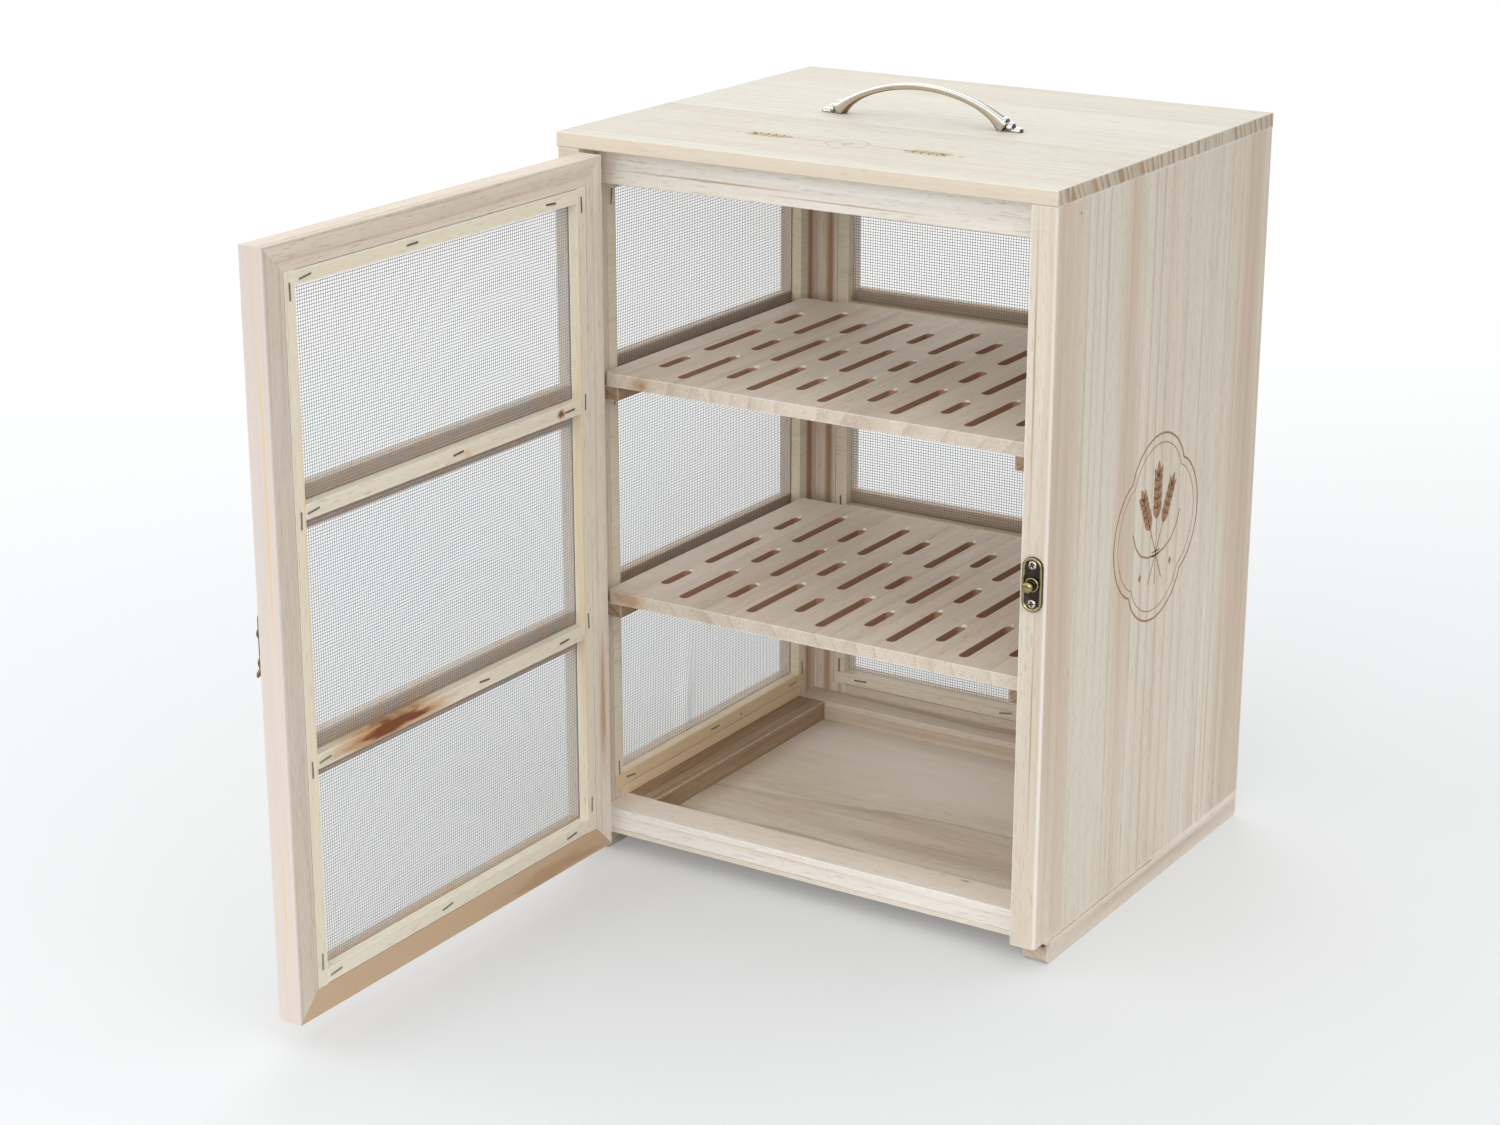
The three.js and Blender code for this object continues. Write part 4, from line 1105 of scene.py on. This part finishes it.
def quatrefoil(drawing, size, width):
    outline = [heading(a) * size * (0.86 + 0.14 * abs(math.cos(2 * a)) ** 0.8) for a in roundAngles(64)]
    stroke(drawing, outline, width, closed=True)


def lozenge(drawing, centre, size):
    drawing.append([centre + Vector(point) * size for point in ((1, 0), (0, 1.4), (-1, 0), (0, -1.4))])


def sheafDrawing(size):
    # three ears tied in a sheaf, in a double quatrefoil
    drawing = []
    quatrefoil(drawing, size, line)
    quatrefoil(drawing, size * burnt["inner"], line * 0.5)
    depth, reach, spread = burnt["tie"]
    tie = Vector((0, -size * depth))
    for lean, length in burnt["ears"]:
        angle = math.radians(90 - lean)
        wheatEar(drawing, tie, angle, size * length)
        stroke(drawing, [tie, tie - heading(angle) * size * burnt["stalk"]], line * 0.8)
    for rise in (-spread, spread):
        stroke(drawing, [tie + Vector((across, rise)) * size for across in (-reach, reach)], line * 0.9)
    (aside, height), small = burnt["lozenges"]
    for hand in (-1, 1):
        stroke(drawing, [tie + Vector((hand * x, y)) * size for x, y in burnt["blade"]], line * 0.9)
        lozenge(drawing, Vector((hand * aside, height)) * size, size * small)
    return drawing


def bandDrawing(size):
    # two ears lying away from a small quatrefoil
    drawing = []
    quatrefoil(drawing, size * burnt["frame"], line * 0.8)
    lozenge(drawing, Vector((0, 0)), size * burnt["middle"])
    start, length = burnt["span"]
    away, small = burnt["beyond"]
    for angle in (0, math.pi):
        wheatEar(drawing, heading(angle) * size * start, angle, size * length)
        lozenge(drawing, heading(angle) * size * away, size * small)
    return drawing


def burnOrnament(name, drawing, colours, origin, across, rise):
    # each outline becomes a thin closed slip, sunk in the wood and just proud of it
    material, shader, place = newMaterial("burnt" + name.title())
    fibres = noise(stretch(place["Object"], 1.0, 1.0, burnt["alongFibre"]), *burnt["fibres"])
    patches = remap(fibres, *burnt["fibreRange"])
    dress(shader, blend(patches, *[colour(*tint) for tint in colours]),
          remap(patches, 0.0, 1.0, *burnt["roughness"]))
    outward = across.cross(rise)
    shape = newShape()
    for outline in drawing:
        ringFaces(shape, [[origin + across * x + rise * y + outward * height for x, y in outline]
                          for height in (mm(burnt["lift"]), -mm(burnt["depth"]))])
    meshPiece(name + "_ornament", shape, [material], "case")


low, high = corners("side_panel")
side = burnt["side"]
spot = Vector((high.x, (low.y + high.y) / 2, mm(side["height"])))
burnOrnament("side", sheafDrawing(mm(side["size"])), side["colours"], spot, toBack, up)
low, high = corners("top_panel")
top = burnt["top"]
spot = Vector((0, low.y + mm(top["inset"]), high.z))
burnOrnament("top", bandDrawing(mm(top["size"])), top["colours"], spot, toRight, toBack)
print("ornament burnt in")


# Floor, backdrop and light
studio = {
    "floorColour": (210, 213, 215), "floorSize": 16, "floorGlow": 0.17, "fade": (0.7, 2.2),
    "floorSpecular": 0.1, "floorRoughness": 0.9,
    "world": 0.88, "worldTint": (1, 0.995, 0.985, 1),
    # each lamp's place, what it looks at, its size and its power
    "lamps": {
        "keyLamp": ((-0.6, -1.6, 2.4), (0, 0, 0.3), 1.8, 5),
        "fillLamp": ((2, -1.1, 2), (0, 0, 0.4), 1.6, 8.6),
        "frontLamp": ((0.9, -2.4, 1), (0, 0, 0.25), 1.6, 14.5),
        "leftLamp": ((-2.3, -1, 1.1), (0, 0, 0.25), 1.6, 12),
        "backLamp": ((-1.3, 2, 1), (0, 0.1, 0.2), 1.6, 13),
    },
}


def makeFloor():
    half = studio["floorSize"] / 2
    mesh = bpy.data.meshes.new("floor")
    square = [(-half, -half, 0), (half, -half, 0), (half, half, 0), (-half, half, 0)]
    mesh.from_pydata(square, [], [(0, 1, 2, 3)])
    floor = newObject("floor", mesh)
    material, shader, place = newMaterial("studioFloor")
    shader.inputs["Specular IOR Level"].default_value = studio["floorSpecular"]
    # away from the object the floor turns into the white backdrop
    fade = remap(vectorMaths("LENGTH", place["Object"]), *studio["fade"], smooth=True)
    dress(shader, blend(fade, colour(*studio["floorColour"]), (0, 0, 0, 1)), studio["floorRoughness"])
    seen = addNode(material.node_tree, "LightPath", {}).outputs["Is Camera Ray"]
    shader.inputs["Emission Color"].default_value = white
    plug(shader.inputs["Emission Strength"], times(seen, remap(fade, 0.0, 1.0, studio["floorGlow"], 1.0)))
    mesh.materials.append(material)


def makeWorld():
    scene.world = bpy.data.worlds.new("studio")
    scene.world.use_nodes = True
    tree = scene.world.node_tree
    tree.nodes.clear()
    path = addNode(tree, "LightPath", {}).outputs
    backdrop = addNode(tree, "Background", {"Color": white, "Strength": 1.0})
    light = addNode(tree, "Background", {"Color": studio["worldTint"], "Strength": studio["world"]})
    sees = maths("MAXIMUM", path["Is Camera Ray"], path["Is Glossy Ray"])
    sees = maths("MAXIMUM", sees, path["Is Transmission Ray"])
    either = addNode(tree, "MixShader", {0: sees, 1: light.outputs[0], 2: backdrop.outputs[0]})
    addNode(tree, "OutputWorld", {0: either.outputs[0]})


def aimed(name, data, place, direction):
    made = newObject(name, data)
    made.location = place
    made.rotation_euler = direction.to_track_quat("-Z", "Y").to_euler()
    return made


def makeLamp(name, place, target, size, power):
    data = bpy.data.lights.new(name, "AREA")
    data.shape = "SQUARE"
    data.size = size
    data.energy = power
    aimed(name, data, place, Vector(target) - Vector(place))


makeFloor()
makeWorld()
for name, lamp in studio["lamps"].items():
    makeLamp(name, *lamp)
print("studio lit")


# Camera, at the photograph's viewing angle
view = {
    "azimuth": 32.563, "elevation": 18.345, "place": (952.9, -1535.4, 842.7), "focalPixels": 3027,
    "imageWidth": 1500, "sensorWidth": 36,
}


def makeCamera():
    azimuth = math.radians(view["azimuth"])
    elevation = math.radians(view["elevation"])
    level = math.cos(elevation)
    back = Vector((math.sin(azimuth) * level, -math.cos(azimuth) * level, math.sin(elevation)))
    data = bpy.data.cameras.new("camera")
    data.sensor_fit = "HORIZONTAL"
    data.sensor_width = view["sensorWidth"]
    data.lens = view["focalPixels"] * view["sensorWidth"] / view["imageWidth"]
    scene.camera = aimed("camera", data, mm(*view["place"]), -back)


makeCamera()
scene.view_settings.view_transform = "Standard"
print("camera set")
